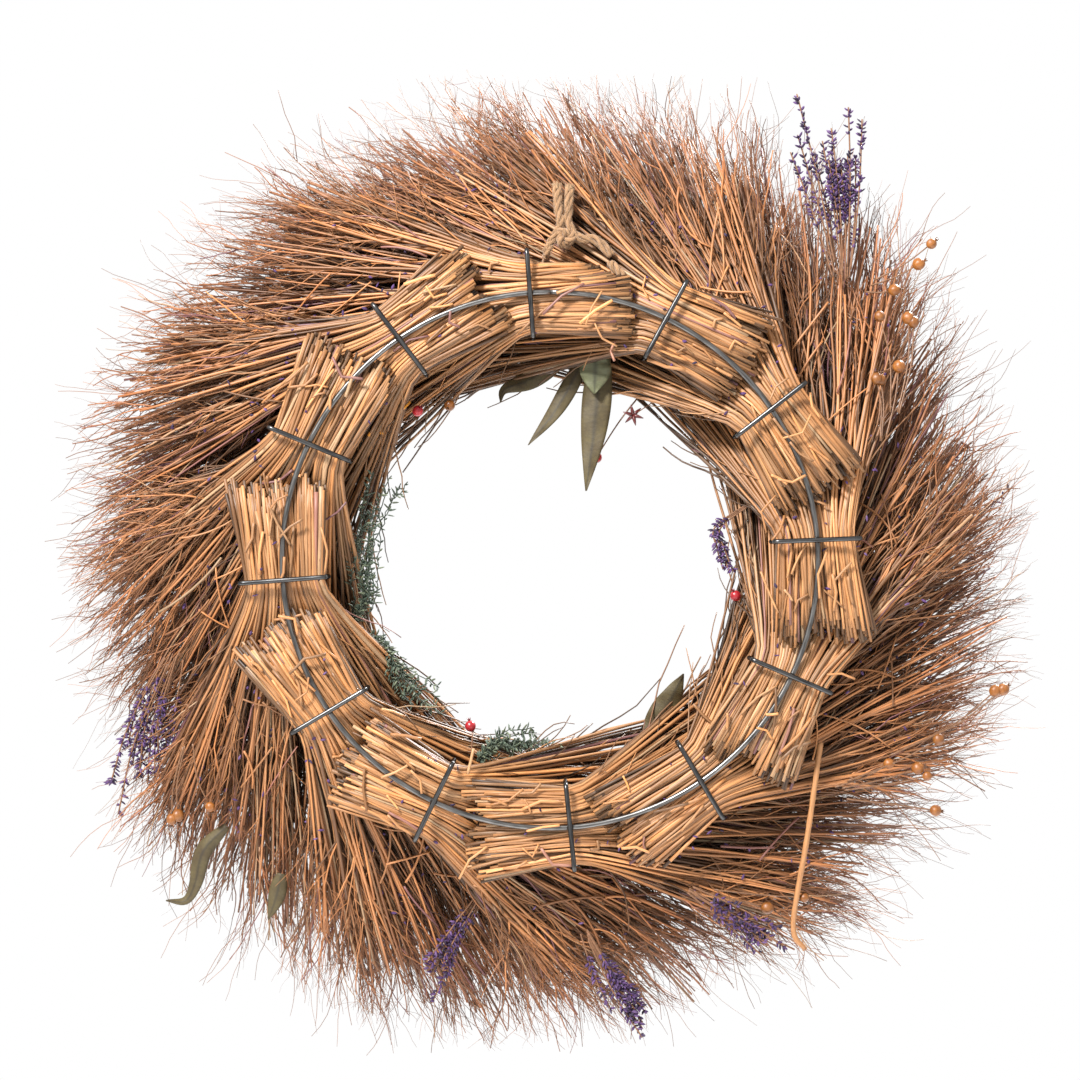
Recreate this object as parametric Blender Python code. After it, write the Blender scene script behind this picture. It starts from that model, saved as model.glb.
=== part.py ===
"""Harvest door wreath: bundles of dried stems clamped round a wire ring, with a twine hanger.

The wreath hangs upright. +Z is up, the dressed front faces -Y and the wire back faces +Y.
The origin is the point where the twine hanger sits on its hook.
"""

import math

import bmesh
import bpy
from mathutils import Vector

# Driving sizes, in metres and degrees.
RING_RADIUS = 0.1524
RING_WIRE_RADIUS = 0.0016
CLAMP_WIRE_RADIUS = 0.0014
CLAMP_COUNT = 12
CLAMP_HALF_WIDTH = 0.0245
CLAMP_BEND_RADIUS = 0.0028
PRONG_TIP_GAP = 0.006
FIRST_CLAMP_ANGLE = -4.3
CLAMP_TILTS = (0.0, 3.0, -3.5, 2.0, -2.5, 3.5, -1.5, 0.5, 3.5, 0.0, -3.0, -3.0)

BUNDLE_THICKNESS = 0.021
BUTT_LENGTH = 0.052
BUTT_FLARE = 0.08
THINNEST_BUTT = 0.002
STRAIGHT_NECK = 0.0045
INNER_SPREAD = 0.5
OUTER_SPREAD = 0.55
INNER_DROP = 0.050
TIP_OUT = 0.005
TIP_THICKNESS = 0.009
FAN_CLEARANCE = 0.0062
BUNDLE_REACHES = (0.114, 0.102, 0.110, 0.122, 0.100, 0.112, 0.112, 0.098, 0.114, 0.124, 0.108, 0.116)

TWINE_RADIUS = 0.00225
KNOT_RADII = (0.007, 0.0055, 0.0070)
KNOT_RIGHT = 0.0085
KNOT_ABOVE_RING = 0.0324
KNOT_OFF_STRAW = 0.0033
SWING_ABOVE_RING = 0.0216
LEFT_LEG_RIGHT = -0.0023
RIGHT_LEG_RIGHT = 0.0353
STRAW_PARTING_CLEARANCE = 0.0007
TWINE_PLAY = 0.0009

TOUCH_GAP = 0.0003
STRAW_TO_RING_GAP = 0.0004
TRIM_OFF_STRAW = 0.0070
LEAF_THICKNESS = 0.0012
BERRY_RADIUS = 0.0033
POD_RADIUS = 0.0038
TRIM_STEM_RADIUS = 0.0009
LAVENDER_RADIUS = 0.0036
GREEN_SPRIG_RADIUS = 0.0032
STALK_RADIUS = 0.0022

# Sizes that follow from the driving ones.
STEP_ANGLE = 360.0 / CLAMP_COUNT
BAR_DEPTH = CLAMP_WIRE_RADIUS
RING_DEPTH = 2.0 * CLAMP_WIRE_RADIUS + TOUCH_GAP + RING_WIRE_RADIUS
STRAW_BACK = RING_DEPTH + RING_WIRE_RADIUS + STRAW_TO_RING_GAP
STRAW_FRONT = STRAW_BACK + BUNDLE_THICKNESS
PRONG_DEPTH = STRAW_FRONT + TOUCH_GAP + CLAMP_WIRE_RADIUS
NECK_HALF_WIDTH = CLAMP_HALF_WIDTH - CLAMP_WIRE_RADIUS - 2.0 * TOUCH_GAP
DEPTH_PER_STEP = BUNDLE_THICKNESS + 2.0 * CLAMP_WIRE_RADIUS + FAN_CLEARANCE
BUTT_GAP = 2.0 * (TWINE_RADIUS + TWINE_PLAY)
LEG_TO_KNOT = KNOT_RADII[0] + 0.4 * TWINE_RADIUS
CENTRE_X = KNOT_RIGHT
CENTRE_Z = KNOT_RADII[2] - RING_RADIUS - KNOT_ABOVE_RING

WIRE_SIDES = 8
RING_SEGMENTS = 60
TRIM_SIDES = 6
ROUTE_SPACING = 2.0 * TWINE_RADIUS * 0.7

STRAW_COLOUR = (0.56, 0.36, 0.18, 1.0)
STEEL_COLOUR = (0.20, 0.21, 0.23, 1.0)
TWINE_COLOUR = (0.50, 0.33, 0.18, 1.0)
LAVENDER_COLOUR = (0.16, 0.07, 0.26, 1.0)
POD_COLOUR = (0.62, 0.30, 0.07, 1.0)
BERRY_COLOUR = (0.45, 0.02, 0.03, 1.0)
LEAF_COLOUR = (0.17, 0.14, 0.07, 1.0)
GREEN_COLOUR = (0.10, 0.16, 0.12, 1.0)
STALK_COLOUR = (0.60, 0.38, 0.16, 1.0)


def clamp_angle(number):
    """Clock angle of a clamp, counted from 1 at the top."""
    return FIRST_CLAMP_ANGLE + STEP_ANGLE * (number - 1)


def straw_back_depth(along, out):
    """Depth of a bundle's back: flat at its clamp, then spiralling forward round the ring."""
    turn = math.degrees(math.atan2(max(along - STRAIGHT_NECK, 0.0), RING_RADIUS + out))
    return STRAW_BACK + DEPTH_PER_STEP * turn / STEP_ANGLE


def straw_back_at(number, right, up):
    """Depth of a bundle's back at a point right and up of the ring's centre."""
    turn = math.radians(clamp_angle(number))
    along = up * math.sin(turn) - right * math.cos(turn)
    out = right * math.sin(turn) + up * math.cos(turn) - RING_RADIUS
    return straw_back_depth(along, out)


SWING_DEPTH = straw_back_at(2, RIGHT_LEG_RIGHT, RING_RADIUS + SWING_ABOVE_RING) - 0.5 * BUTT_GAP
KNOT_DEPTH = straw_back_at(2, KNOT_RIGHT, RING_RADIUS + KNOT_ABOVE_RING) - KNOT_RADII[1] - KNOT_OFF_STRAW
BACK_Y = KNOT_DEPTH


def place(right, up, depth):
    """Point from its offsets right and up of the ring's centre, seen from behind, and its depth."""
    return Vector((CENTRE_X - right, BACK_Y - depth, CENTRE_Z + up))


def polar(clock, radius, depth):
    """Point from a clock angle in degrees, seen from behind, a radius and a depth."""
    turn = math.radians(clock)
    return place(radius * math.sin(turn), radius * math.cos(turn), depth)


def clamp_place(number, along, out, depth):
    """Point beside a clamp: along the tangent towards the stems' tips, and out along its radius."""
    turn = math.radians(clamp_angle(number))
    right = (RING_RADIUS + out) * math.sin(turn) - along * math.cos(turn)
    up = (RING_RADIUS + out) * math.cos(turn) + along * math.sin(turn)
    return place(right, up, depth)


def new_material(name, colour, roughness, metallic=0.0):
    material = bpy.data.materials.new(name)
    material.use_nodes = True
    shader = material.node_tree.nodes["Principled BSDF"]
    shader.inputs["Base Color"].default_value = colour
    shader.inputs["Roughness"].default_value = roughness
    shader.inputs["Metallic"].default_value = metallic
    return material


def add_object(name, data, material, parent):
    item = bpy.data.objects.new(name, data)
    item.data.materials.append(material)
    item.parent = parent
    bpy.context.scene.collection.objects.link(item)
    return item


def loft(name, rings, closed=False):
    """Mesh through rings of points, capped at both ends unless it closes on itself."""
    shape = bmesh.new()
    loops = [[shape.verts.new(point) for point in ring] for ring in rings]
    count = len(loops[0])
    pairs = list(zip(loops, loops[1:]))
    if closed:
        pairs.append((loops[-1], loops[0]))
    for first, second in pairs:
        for corner in range(count):
            following = (corner + 1) % count
            shape.faces.new((first[corner], first[following], second[following], second[corner]))
    if not closed:
        shape.faces.new(list(reversed(loops[0])))
        shape.faces.new(loops[-1])
    bmesh.ops.recalc_face_normals(shape, faces=shape.faces)
    mesh = bpy.data.meshes.new(name)
    shape.to_mesh(mesh)
    shape.free()
    return mesh


def flat_sided_ring(centre, normal, binormal, radius):
    """Eight points round a wire, with flats that face along the normal and the binormal."""
    corner_radius = radius / math.cos(math.pi / WIRE_SIDES)
    points = []
    for side in range(WIRE_SIDES):
        turn = (side + 0.5) * 2.0 * math.pi / WIRE_SIDES
        points.append(centre + corner_radius * (math.cos(turn) * normal + math.sin(turn) * binormal))
    return points


def round_mesh(mesh):
    mesh.shade_smooth()
    mesh.set_sharp_from_angle(angle=math.radians(40.0))


def build_ring(parent, material):
    """The wire ring that carries every clamp."""
    rings = []
    for segment in range(RING_SEGMENTS):
        clock = 360.0 * segment / RING_SEGMENTS
        centre = polar(clock, RING_RADIUS, RING_DEPTH)
        outward = (polar(clock, RING_RADIUS + 1.0, RING_DEPTH) - centre).normalized()
        rings.append(flat_sided_ring(centre, outward, Vector((0.0, 1.0, 0.0)), RING_WIRE_RADIUS))
    mesh = loft("frame_ring", rings, closed=True)
    add_object("frame_ring", mesh, material, parent)


def clamp_path():
    """Out and depth of the clamp wire's centre from one prong tip to the other, with its tangents."""
    half = CLAMP_HALF_WIDTH
    bend = CLAMP_BEND_RADIUS
    arcs = (
        (-half + bend, PRONG_DEPTH - bend, 90.0),
        (-half + bend, BAR_DEPTH + bend, 180.0),
        (half - bend, BAR_DEPTH + bend, 270.0),
        (half - bend, PRONG_DEPTH - bend, 360.0),
    )
    path = [(-PRONG_TIP_GAP, PRONG_DEPTH, 180.0)]
    for centre_out, centre_depth, start in arcs:
        for share in (0.0, 0.5, 1.0):
            angle = math.radians(start + 90.0 * share)
            out = centre_out + bend * math.cos(angle)
            depth = centre_depth + bend * math.sin(angle)
            path.append((out, depth, start + 90.0 * share + 90.0))
    path.append((PRONG_TIP_GAP, PRONG_DEPTH, 540.0))
    return path


def build_clamp(number, parent, material):
    """One clamp: a bar across the back of the ring whose prongs close round a bundle."""
    turn = math.radians(clamp_angle(number) + CLAMP_TILTS[number - 1])
    bar_direction = Vector((-math.sin(turn), 0.0, math.cos(turn)))
    depth_direction = Vector((0.0, -1.0, 0.0))
    across = bar_direction.cross(depth_direction)
    foot = clamp_place(number, 0.0, 0.0, 0.0)
    rings = []
    for out, depth, heading in clamp_path():
        angle = math.radians(heading)
        tangent = math.cos(angle) * bar_direction + math.sin(angle) * depth_direction
        centre = foot + out * bar_direction + depth * depth_direction
        rings.append(flat_sided_ring(centre, across.cross(tangent), across, CLAMP_WIRE_RADIUS))
    name = f"clamp_{number:02d}"
    add_object(name, loft(name, rings), material, parent)


def straw_front_depth(along, out, share):
    """Depth of a bundle's front: thinner at the tips, and clear of the next bundle at the butts."""
    back = straw_back_depth(along, out)
    full = back + BUNDLE_THICKNESS
    if along >= 0.0:
        return full + (TIP_THICKNESS - BUNDLE_THICKNESS) * share
    step = math.radians(STEP_ANGLE)
    next_along = along * math.cos(step) + (RING_RADIUS + out) * math.sin(step)
    next_out = (RING_RADIUS + out) * math.cos(step) - along * math.sin(step) - RING_RADIUS
    clear = straw_back_depth(next_along, next_out) - BUTT_GAP
    return min(full, max(clear, back + THINNEST_BUTT))


def bundle_sides(along, reach):
    """Innermost and outermost place of a bundle's stems at a distance along it."""
    if along < 0.0:
        flare = BUTT_FLARE * max(-along - STRAIGHT_NECK, 0.0)
        return -NECK_HALF_WIDTH - flare, NECK_HALF_WIDTH + flare
    run = max(along - STRAIGHT_NECK, 0.0)
    inner = max(-NECK_HALF_WIDTH - INNER_SPREAD * run, -INNER_DROP)
    limit = math.sqrt(reach * reach - along * along) - RING_RADIUS
    return inner, min(NECK_HALF_WIDTH + OUTER_SPREAD * run, limit)


def bundle_section(number, along, share, reach):
    """Closed outline of a bundle across its stems, with thinner, rounded sides."""
    inner, outer = bundle_sides(along, reach)
    steps = ((0.0, 0.30), (0.12, 0.08), (0.36, 0.0), (0.64, 0.0), (0.88, 0.08), (1.0, 0.30))
    back_row = []
    front_row = []
    for across, inset in steps:
        out = inner + (outer - inner) * across
        back = straw_back_depth(along, out)
        front = straw_front_depth(along, out, share)
        back_row.append(clamp_place(number, along, out, back + inset * (front - back)))
        front_row.append(clamp_place(number, along, out, front - inset * (front - back)))
    return back_row + front_row[::-1]


def build_bundle(number, parent, material):
    """One bundle of stems: cut butts past its clamp, and a fan of stems the other way."""
    reach = RING_RADIUS + BUNDLE_REACHES[number - 1]
    tip_along = math.sqrt(reach ** 2 - (RING_RADIUS + TIP_OUT) ** 2)
    sections = [(-BUTT_LENGTH, 0.0), (-0.5 * BUTT_LENGTH, 0.0)]
    sections += [(-STRAIGHT_NECK, 0.0), (STRAIGHT_NECK, 0.0)]
    sections += [(share * tip_along, share) for share in (0.14, 0.28, 0.46, 0.64, 0.82, 1.0)]
    rings = [bundle_section(number, along, share, reach) for along, share in sections]
    name = f"twig_bundle_{number:02d}"
    return add_object(name, loft(name, rings), material, parent)


def part_straw_for_hanger(bundle):
    """Clears the straw of the first bundle's butts above the line where the hanger swings."""
    left = LEFT_LEG_RIGHT - TWINE_RADIUS - STRAW_PARTING_CLEARANCE
    right = BUTT_LENGTH + 3.0 * TWINE_RADIUS
    low = RING_RADIUS + SWING_ABOVE_RING - TWINE_RADIUS - STRAW_PARTING_CLEARANCE
    high = low + 2.0 * NECK_HALF_WIDTH
    outline = ((left, low), (right, low), (right, high), (left, high))
    corners = []
    for depth in (-BUNDLE_THICKNESS, 2.0 * BUNDLE_THICKNESS):
        corners.append([place(across, up, depth) for across, up in outline])
    cutter = bpy.data.objects.new("parting_cutter", loft("parting_cutter", corners))
    cutter.hide_render = True
    cutter.display_type = "WIRE"
    bpy.context.scene.collection.objects.link(cutter)
    cut = bundle.modifiers.new("Parting", "BOOLEAN")
    cut.operation = "DIFFERENCE"
    cut.solver = "EXACT"
    cut.object = cutter


def smooth_route(points, spacing):
    """Evenly spaced points on a smooth curve through the route's own points."""
    ends = [2.0 * points[0] - points[1]] + points + [2.0 * points[-1] - points[-2]]
    fine = []
    steps = 24
    for index in range(1, len(ends) - 2):
        before, first, second, after = ends[index - 1:index + 3]
        for step in range(steps):
            t = step / steps
            pull = (second - before) * t + (2.0 * before - 5.0 * first + 4.0 * second - after) * t * t
            pull += (3.0 * first - before - 3.0 * second + after) * t * t * t
            fine.append(first + 0.5 * pull)
    fine.append(points[-1])
    total = sum((second - first).length for first, second in zip(fine, fine[1:]))
    count = max(2, round(total / spacing))
    route = [fine[0]]
    walked = 0.0
    for first, second in zip(fine, fine[1:]):
        walked += (second - first).length
        if walked >= total * len(route) / count and len(route) < count:
            route.append(second)
    route.append(fine[-1])
    return route


def build_twine(name, points, parent, material, rounded_start=False):
    """One run of twine: a filled tube along a smooth curve through its route points."""
    route = smooth_route(points, ROUTE_SPACING)
    radii = [1.0] * len(route)
    if rounded_start:
        back = (route[0] - route[1]).normalized()
        cap = [(route[0] + back * TWINE_RADIUS * reach, radius) for reach, radius in
               ((0.97, 0.24), (0.80, 0.60), (0.45, 0.89))]
        route = [point for point, radius in cap] + route
        radii = [radius for point, radius in cap] + radii
    curve = bpy.data.curves.new(name, "CURVE")
    curve.dimensions = "3D"
    curve.bevel_depth = TWINE_RADIUS
    curve.bevel_resolution = 2
    curve.use_fill_caps = True
    spline = curve.splines.new("POLY")
    spline.points.add(len(route) - 1)
    for slot, point, radius in zip(spline.points, route, radii):
        slot.co = (point.x, point.y, point.z, 1.0)
        slot.radius = radius
    add_object(name, curve, material, parent)


def build_knot(parent, material):
    """The knot that closes the hanger, an egg shape over the point that sits on the hook."""
    shape = bmesh.new()
    bmesh.ops.create_icosphere(shape, subdivisions=2, radius=1.0)
    bmesh.ops.scale(shape, vec=Vector(KNOT_RADII), verts=shape.verts)
    middle = place(KNOT_RIGHT, RING_RADIUS + KNOT_ABOVE_RING, KNOT_DEPTH)
    bmesh.ops.translate(shape, vec=middle, verts=shape.verts)
    mesh = bpy.data.meshes.new("hanger_knot")
    shape.to_mesh(mesh)
    shape.free()
    mesh.shade_smooth()
    add_object("hanger_knot", mesh, material, parent)


def hanger_place(right, above_ring, depth):
    return place(right, RING_RADIUS + above_ring, depth)


def build_hanger(parent, material):
    """The moving loop: two legs from the swing line to the knot, and the knot's two tails."""
    knot = KNOT_ABOVE_RING
    left_leg = [
        hanger_place(LEFT_LEG_RIGHT, SWING_ABOVE_RING, SWING_DEPTH),
        hanger_place(LEFT_LEG_RIGHT + 0.0012, SWING_ABOVE_RING + 0.0042, SWING_DEPTH - 0.0002),
        hanger_place(KNOT_RIGHT - LEG_TO_KNOT, knot - 0.0026, KNOT_DEPTH - 0.0010),
    ]
    right_leg = [
        hanger_place(RIGHT_LEG_RIGHT, SWING_ABOVE_RING, SWING_DEPTH),
        hanger_place(RIGHT_LEG_RIGHT - 0.0030, SWING_ABOVE_RING + 0.0038, SWING_DEPTH + 0.0006),
        hanger_place(RIGHT_LEG_RIGHT - 0.0095, knot - 0.0014, SWING_DEPTH + 0.0020),
        hanger_place(KNOT_RIGHT + LEG_TO_KNOT, knot + 0.0002, KNOT_DEPTH - 0.0003),
    ]
    left_tail = [
        hanger_place(KNOT_RIGHT - 0.0030, knot + 0.0075, KNOT_DEPTH + 0.0005),
        hanger_place(KNOT_RIGHT - 0.0052, knot + 0.0170, KNOT_DEPTH + 0.0030),
        hanger_place(KNOT_RIGHT - 0.0066, knot + 0.0305, KNOT_DEPTH + 0.0060),
    ]
    right_tail = [
        hanger_place(KNOT_RIGHT + 0.0026, knot + 0.0076, KNOT_DEPTH + 0.0005),
        hanger_place(KNOT_RIGHT + 0.0034, knot + 0.0165, KNOT_DEPTH + 0.0030),
        hanger_place(KNOT_RIGHT + 0.0052, knot + 0.0290, KNOT_DEPTH + 0.0060),
    ]
    build_twine("hanger_leg_left", left_leg, parent, material, rounded_start=True)
    build_twine("hanger_leg_right", right_leg, parent, material, rounded_start=True)
    build_twine("hanger_tail_left", left_tail, parent, material)
    build_twine("hanger_tail_right", right_tail, parent, material)
    build_knot(parent, material)


def between_first_bundles(right, above_ring):
    """Point of the hidden twine, just behind the second bundle's back."""
    up = RING_RADIUS + above_ring
    return place(right, up, straw_back_at(2, right, up) - 0.5 * BUTT_GAP)


def build_tie(parent, material):
    """The hidden bight of twine, held between the first two bundles, that carries the hanger."""
    below = TWINE_RADIUS + 2.0 * TOUCH_GAP
    far_depth = straw_back_at(2, LEFT_LEG_RIGHT, RING_RADIUS + SWING_ABOVE_RING) - 0.5 * BUTT_GAP
    points = [
        hanger_place(RIGHT_LEG_RIGHT, SWING_ABOVE_RING - below, SWING_DEPTH),
        between_first_bundles(RIGHT_LEG_RIGHT + 0.0006, SWING_ABOVE_RING - below - 0.0026),
        between_first_bundles(0.0415, 0.0090),
        between_first_bundles(0.0400, 0.0010),
        between_first_bundles(0.0280, -0.0060),
        between_first_bundles(0.0100, -0.0060),
        between_first_bundles(0.0000, -0.0010),
        between_first_bundles(LEFT_LEG_RIGHT, 0.0076),
        hanger_place(LEFT_LEG_RIGHT, SWING_ABOVE_RING - 0.0040, far_depth),
        hanger_place(LEFT_LEG_RIGHT, SWING_ABOVE_RING - 0.0004, far_depth - 0.0016),
        hanger_place(LEFT_LEG_RIGHT, SWING_ABOVE_RING + 0.0003, SWING_DEPTH + 0.0075),
        hanger_place(LEFT_LEG_RIGHT, SWING_ABOVE_RING, SWING_DEPTH + 0.0052),
        hanger_place(LEFT_LEG_RIGHT, SWING_ABOVE_RING, SWING_DEPTH + below),
    ]
    build_twine("hanger_tie", points, parent, material)


def trim_point(bundle, clock, beyond_ring):
    """Point of a sprig that lies on the back of a bundle's stems."""
    radius = RING_RADIUS + beyond_ring
    right = radius * math.sin(math.radians(clock))
    up = radius * math.cos(math.radians(clock))
    return place(right, up, straw_back_at(bundle, right, up) - TRIM_OFF_STRAW)


def layer_point(clock, beyond_ring, layer):
    """Point in front of the bundles' necks, by as many bundle steps of depth as the layer says."""
    return polar(clock, RING_RADIUS + beyond_ring, STRAW_FRONT + layer * DEPTH_PER_STEP)


def sprig_mesh(name, points, radii):
    """Solid round a sprig's path, as thick at each point as its radius says."""
    rings = []
    for index, (point, radius) in enumerate(zip(points, radii)):
        before = points[max(index - 1, 0)]
        after = points[min(index + 1, len(points) - 1)]
        tangent = (after - before).normalized()
        normal = tangent.cross(Vector((0.0, 1.0, 0.0))).normalized()
        binormal = tangent.cross(normal)
        ring = []
        for side in range(TRIM_SIDES):
            turn = 2.0 * math.pi * side / TRIM_SIDES
            ring.append(point + radius * (math.cos(turn) * normal + math.sin(turn) * binormal))
        rings.append(ring)
    mesh = loft(name, rings)
    round_mesh(mesh)
    return mesh


def spike_radii(count, radius):
    """Radii of a flower spike: a stem, a full body and a narrow tip."""
    shares = [index / (count - 1) for index in range(count)]
    body = [math.sin(math.pi * min(max(share * 1.15 - 0.15, 0.0), 1.0) ** 0.8) for share in shares]
    return [max(radius * part, TRIM_STEM_RADIUS) for part in body]


def build_sprig(name, points, radius, parent, material):
    route = smooth_route(points, 2.5 * radius)
    add_object(name, sprig_mesh(name, route, spike_radii(len(route), radius)), material, parent)


def build_fruit(name, points, radius, parent, material):
    """A round berry or pod at the end of a thin stem, as one solid."""
    stem_end = points[-1]
    reach = (stem_end - points[-2]).normalized()
    route = smooth_route(points[:-1] + [stem_end - radius * reach], 3.0 * radius)
    radii = [TRIM_STEM_RADIUS] * len(route)
    for share in (-0.87, -0.5, 0.0, 0.5, 0.87, 0.98):
        route.append(stem_end + radius * share * reach)
        radii.append(radius * math.sqrt(1.0 - share * share))
    add_object(name, sprig_mesh(name, route, radii), material, parent)


def build_leaf(name, points, half_width, parent, material):
    """A long leaf: a thin blade, widest before its middle, that ends in a point."""
    route = smooth_route(points, 0.006)
    rings = []
    last = len(route) - 1
    for index, point in enumerate(route):
        share = index / last
        before = route[max(index - 1, 0)]
        after = route[min(index + 1, last)]
        tangent = (after - before).normalized()
        across = tangent.cross(Vector((0.0, 1.0, 0.0))).normalized()
        face = tangent.cross(across)
        width = half_width * max(math.sin(math.pi * (0.12 + 0.86 * share) ** 0.85), 0.12)
        thickness = 0.5 * LEAF_THICKNESS
        rings.append([point - width * across, point + thickness * face,
                      point + width * across, point - thickness * face])
    mesh = loft(name, rings)
    add_object(name, mesh, material, parent)


def build_lavender(parent, material):
    """Flower spikes laid among the stems, outside five bundles and along the inner edge."""
    spikes = (
        (4, ((46.0, 0.084), (40.0, 0.110), (34.5, 0.138))),
        (11, ((256.0, 0.073), (249.0, 0.098), (243.0, 0.116))),
        (9, ((191.5, 0.045), (194.0, 0.071), (196.0, 0.098))),
        (8, ((174.0, 0.065), (171.0, 0.092), (168.0, 0.116))),
        (7, ((157.0, 0.052), (153.0, 0.074), (150.0, 0.098))),
    )
    for count, (bundle, route) in enumerate(spikes, start=1):
        points = [trim_point(bundle, clock, beyond) for clock, beyond in route]
        build_sprig(f"lavender_spike_{count:02d}", points, LAVENDER_RADIUS, parent, material)
    inner = ((74.0, -0.0300, 0.43), (79.0, -0.0530, 0.36), (86.0, -0.0530, 0.28), (93.0, -0.0490, 0.21))
    points = [layer_point(clock, beyond, layer) for clock, beyond, layer in inner]
    build_sprig("lavender_spike_06", points, LAVENDER_RADIUS, parent, material)


def build_pods(parent, material):
    """Round seed pods on thin stems, round the outer edge."""
    pods = (
        (4, ((49.5, 0.092), (50.8, 0.107), (51.3, 0.121))),
        (4, ((67.0, 0.064), (61.0, 0.083), (56.0, 0.097))),
        (4, ((70.0, 0.052), (65.0, 0.066), (61.0, 0.077))),
        (6, ((120.0, 0.073), (112.0, 0.100), (106.4, 0.117))),
        (6, ((128.0, 0.060), (123.0, 0.078), (119.5, 0.091))),
        (7, ((155.0, 0.058), (151.0, 0.072), (148.0, 0.084))),
        (10, ((243.0, 0.083), (239.0, 0.098), (235.5, 0.108))),
    )
    for count, (bundle, route) in enumerate(pods, start=1):
        points = [trim_point(bundle, clock, beyond) for clock, beyond in route]
        build_fruit(f"flax_pod_{count:02d}", points, POD_RADIUS, parent, material)


def build_berries(parent, material):
    """Berries on thin stems that reach into the centre."""
    berries = (
        ((311.0, -0.0280, 0.51), (314.5, -0.0370, 0.34), (318.4, -0.0375, 0.08)),
        ((333.0, -0.0290, 0.78), (330.0, -0.0420, 0.51), (327.0, -0.0460, 0.18)),
        ((30.0, -0.0290, 0.88), (27.0, -0.0600, 0.68), (24.5, -0.0870, 0.58)),
        ((202.0, -0.0310, 0.23), (204.0, -0.0420, 0.31), (205.5, -0.0455, 0.34)),
        ((106.0, -0.0280, 0.36), (103.5, -0.0390, 0.28), (101.0, -0.0430, 0.18)),
    )
    for count, route in enumerate(berries, start=1):
        points = [layer_point(clock, beyond, layer) for clock, beyond, layer in route]
        build_fruit(f"berry_{count:02d}", points, BERRY_RADIUS, parent, material)


def build_leaves(parent, material):
    """Long dry leaves: three under the top, one low inside, two outside low, one on the front."""
    leaves = (
        (0.0062, (layer_point(5.6, -0.0294, 0.78), layer_point(-6.0, -0.0464, 0.64),
                  layer_point(-17.2, -0.0546, 0.51))),
        (0.0050, (layer_point(10.6, -0.0279, 0.59), layer_point(3.2, -0.0629, 0.48),
                  layer_point(-10.7, -0.0848, 0.38))),
        (0.0078, (layer_point(13.5, -0.0235, 0.46), layer_point(18.3, -0.0698, 0.34),
                  layer_point(27.8, -0.1074, 0.24))),
        (0.0080, (layer_point(152.0, -0.0310, 0.88), layer_point(141.0, -0.0430, 0.74),
                  layer_point(130.5, -0.0500, 0.61))),
        (0.0060, (trim_point(10, 231.5, 0.0930), trim_point(10, 229.5, 0.1180),
                  trim_point(10, 229.0, 0.1400))),
        (0.0050, (trim_point(10, 220.5, 0.0880), trim_point(10, 219.0, 0.1010),
                  trim_point(10, 218.0, 0.1140))),
        (0.0080, (layer_point(20.0, -0.0060, 1.21), layer_point(8.0, -0.0020, 1.28),
                  layer_point(-6.0, 0.0000, 1.19))),
    )
    for count, (half_width, points) in enumerate(leaves, start=1):
        build_leaf(f"leaf_{count:02d}", list(points), half_width, parent, material)


def build_greens(parent, material):
    """Small-leaved sprigs along the inner edge, low and to one side."""
    sprigs = (
        ((252.0, -0.0290, 0.54), (258.0, -0.0420, 0.48), (271.0, -0.0430, 0.44),
         (286.0, -0.0430, 0.44), (300.0, -0.0430, 0.41)),
        ((248.0, -0.0290, 0.66), (243.0, -0.0420, 0.51), (229.0, -0.0430, 0.44),
         (214.0, -0.0430, 0.41)),
        ((199.5, -0.0290, 0.29), (196.0, -0.0410, 0.34), (188.0, -0.0430, 0.41),
         (177.0, -0.0430, 0.38)),
    )
    for count, route in enumerate(sprigs, start=1):
        points = [layer_point(clock, beyond, layer) for clock, beyond, layer in route]
        build_sprig(f"green_sprig_{count:02d}", points, GREEN_SPRIG_RADIUS, parent, material)


def build_stalk(parent, material):
    """One thick bent stalk that crosses the stems behind two bundles."""
    route = smooth_route([
        layer_point(124.0, 0.0350, -0.26),
        layer_point(137.0, 0.0640, -0.32),
        layer_point(146.3, 0.1000, -0.10),
        layer_point(146.8, 0.1160, -0.04),
    ], 0.012)
    mesh = sprig_mesh("cross_stalk", route, [STALK_RADIUS] * len(route))
    add_object("cross_stalk", mesh, material, parent)


def build_wreath():
    steel = new_material("dark_steel", STEEL_COLOUR, 0.35, 0.9)
    straw = new_material("dried_stems", STRAW_COLOUR, 0.75)
    twine = new_material("jute_twine", TWINE_COLOUR, 0.85)
    lavender = new_material("lavender", LAVENDER_COLOUR, 0.8)
    pod = new_material("seed_pod", POD_COLOUR, 0.5)
    berry = new_material("berry", BERRY_COLOUR, 0.35)
    leaf = new_material("dry_leaf", LEAF_COLOUR, 0.6)
    green = new_material("green_sprig", GREEN_COLOUR, 0.7)
    stalk = new_material("thick_stalk", STALK_COLOUR, 0.6)

    wreath = bpy.data.objects.new("wreath_pivot", None)
    hanger = bpy.data.objects.new("hanger_pivot", None)
    for pivot in (wreath, hanger):
        bpy.context.scene.collection.objects.link(pivot)

    build_ring(wreath, steel)
    for number in range(1, CLAMP_COUNT + 1):
        build_clamp(number, wreath, steel)
        bundle = build_bundle(number, wreath, straw)
        if number == 1:
            part_straw_for_hanger(bundle)
    build_tie(wreath, twine)
    build_hanger(hanger, twine)
    build_lavender(wreath, lavender)
    build_pods(wreath, pod)
    build_berries(wreath, berry)
    build_leaves(wreath, leaf)
    build_greens(wreath, green)
    build_stalk(wreath, stalk)


for old in list(bpy.data.objects):
    bpy.data.objects.remove(old, do_unlink=True)
build_wreath()
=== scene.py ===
"""Harvest door wreath seen from its wire back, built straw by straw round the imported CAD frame."""

import math

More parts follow.
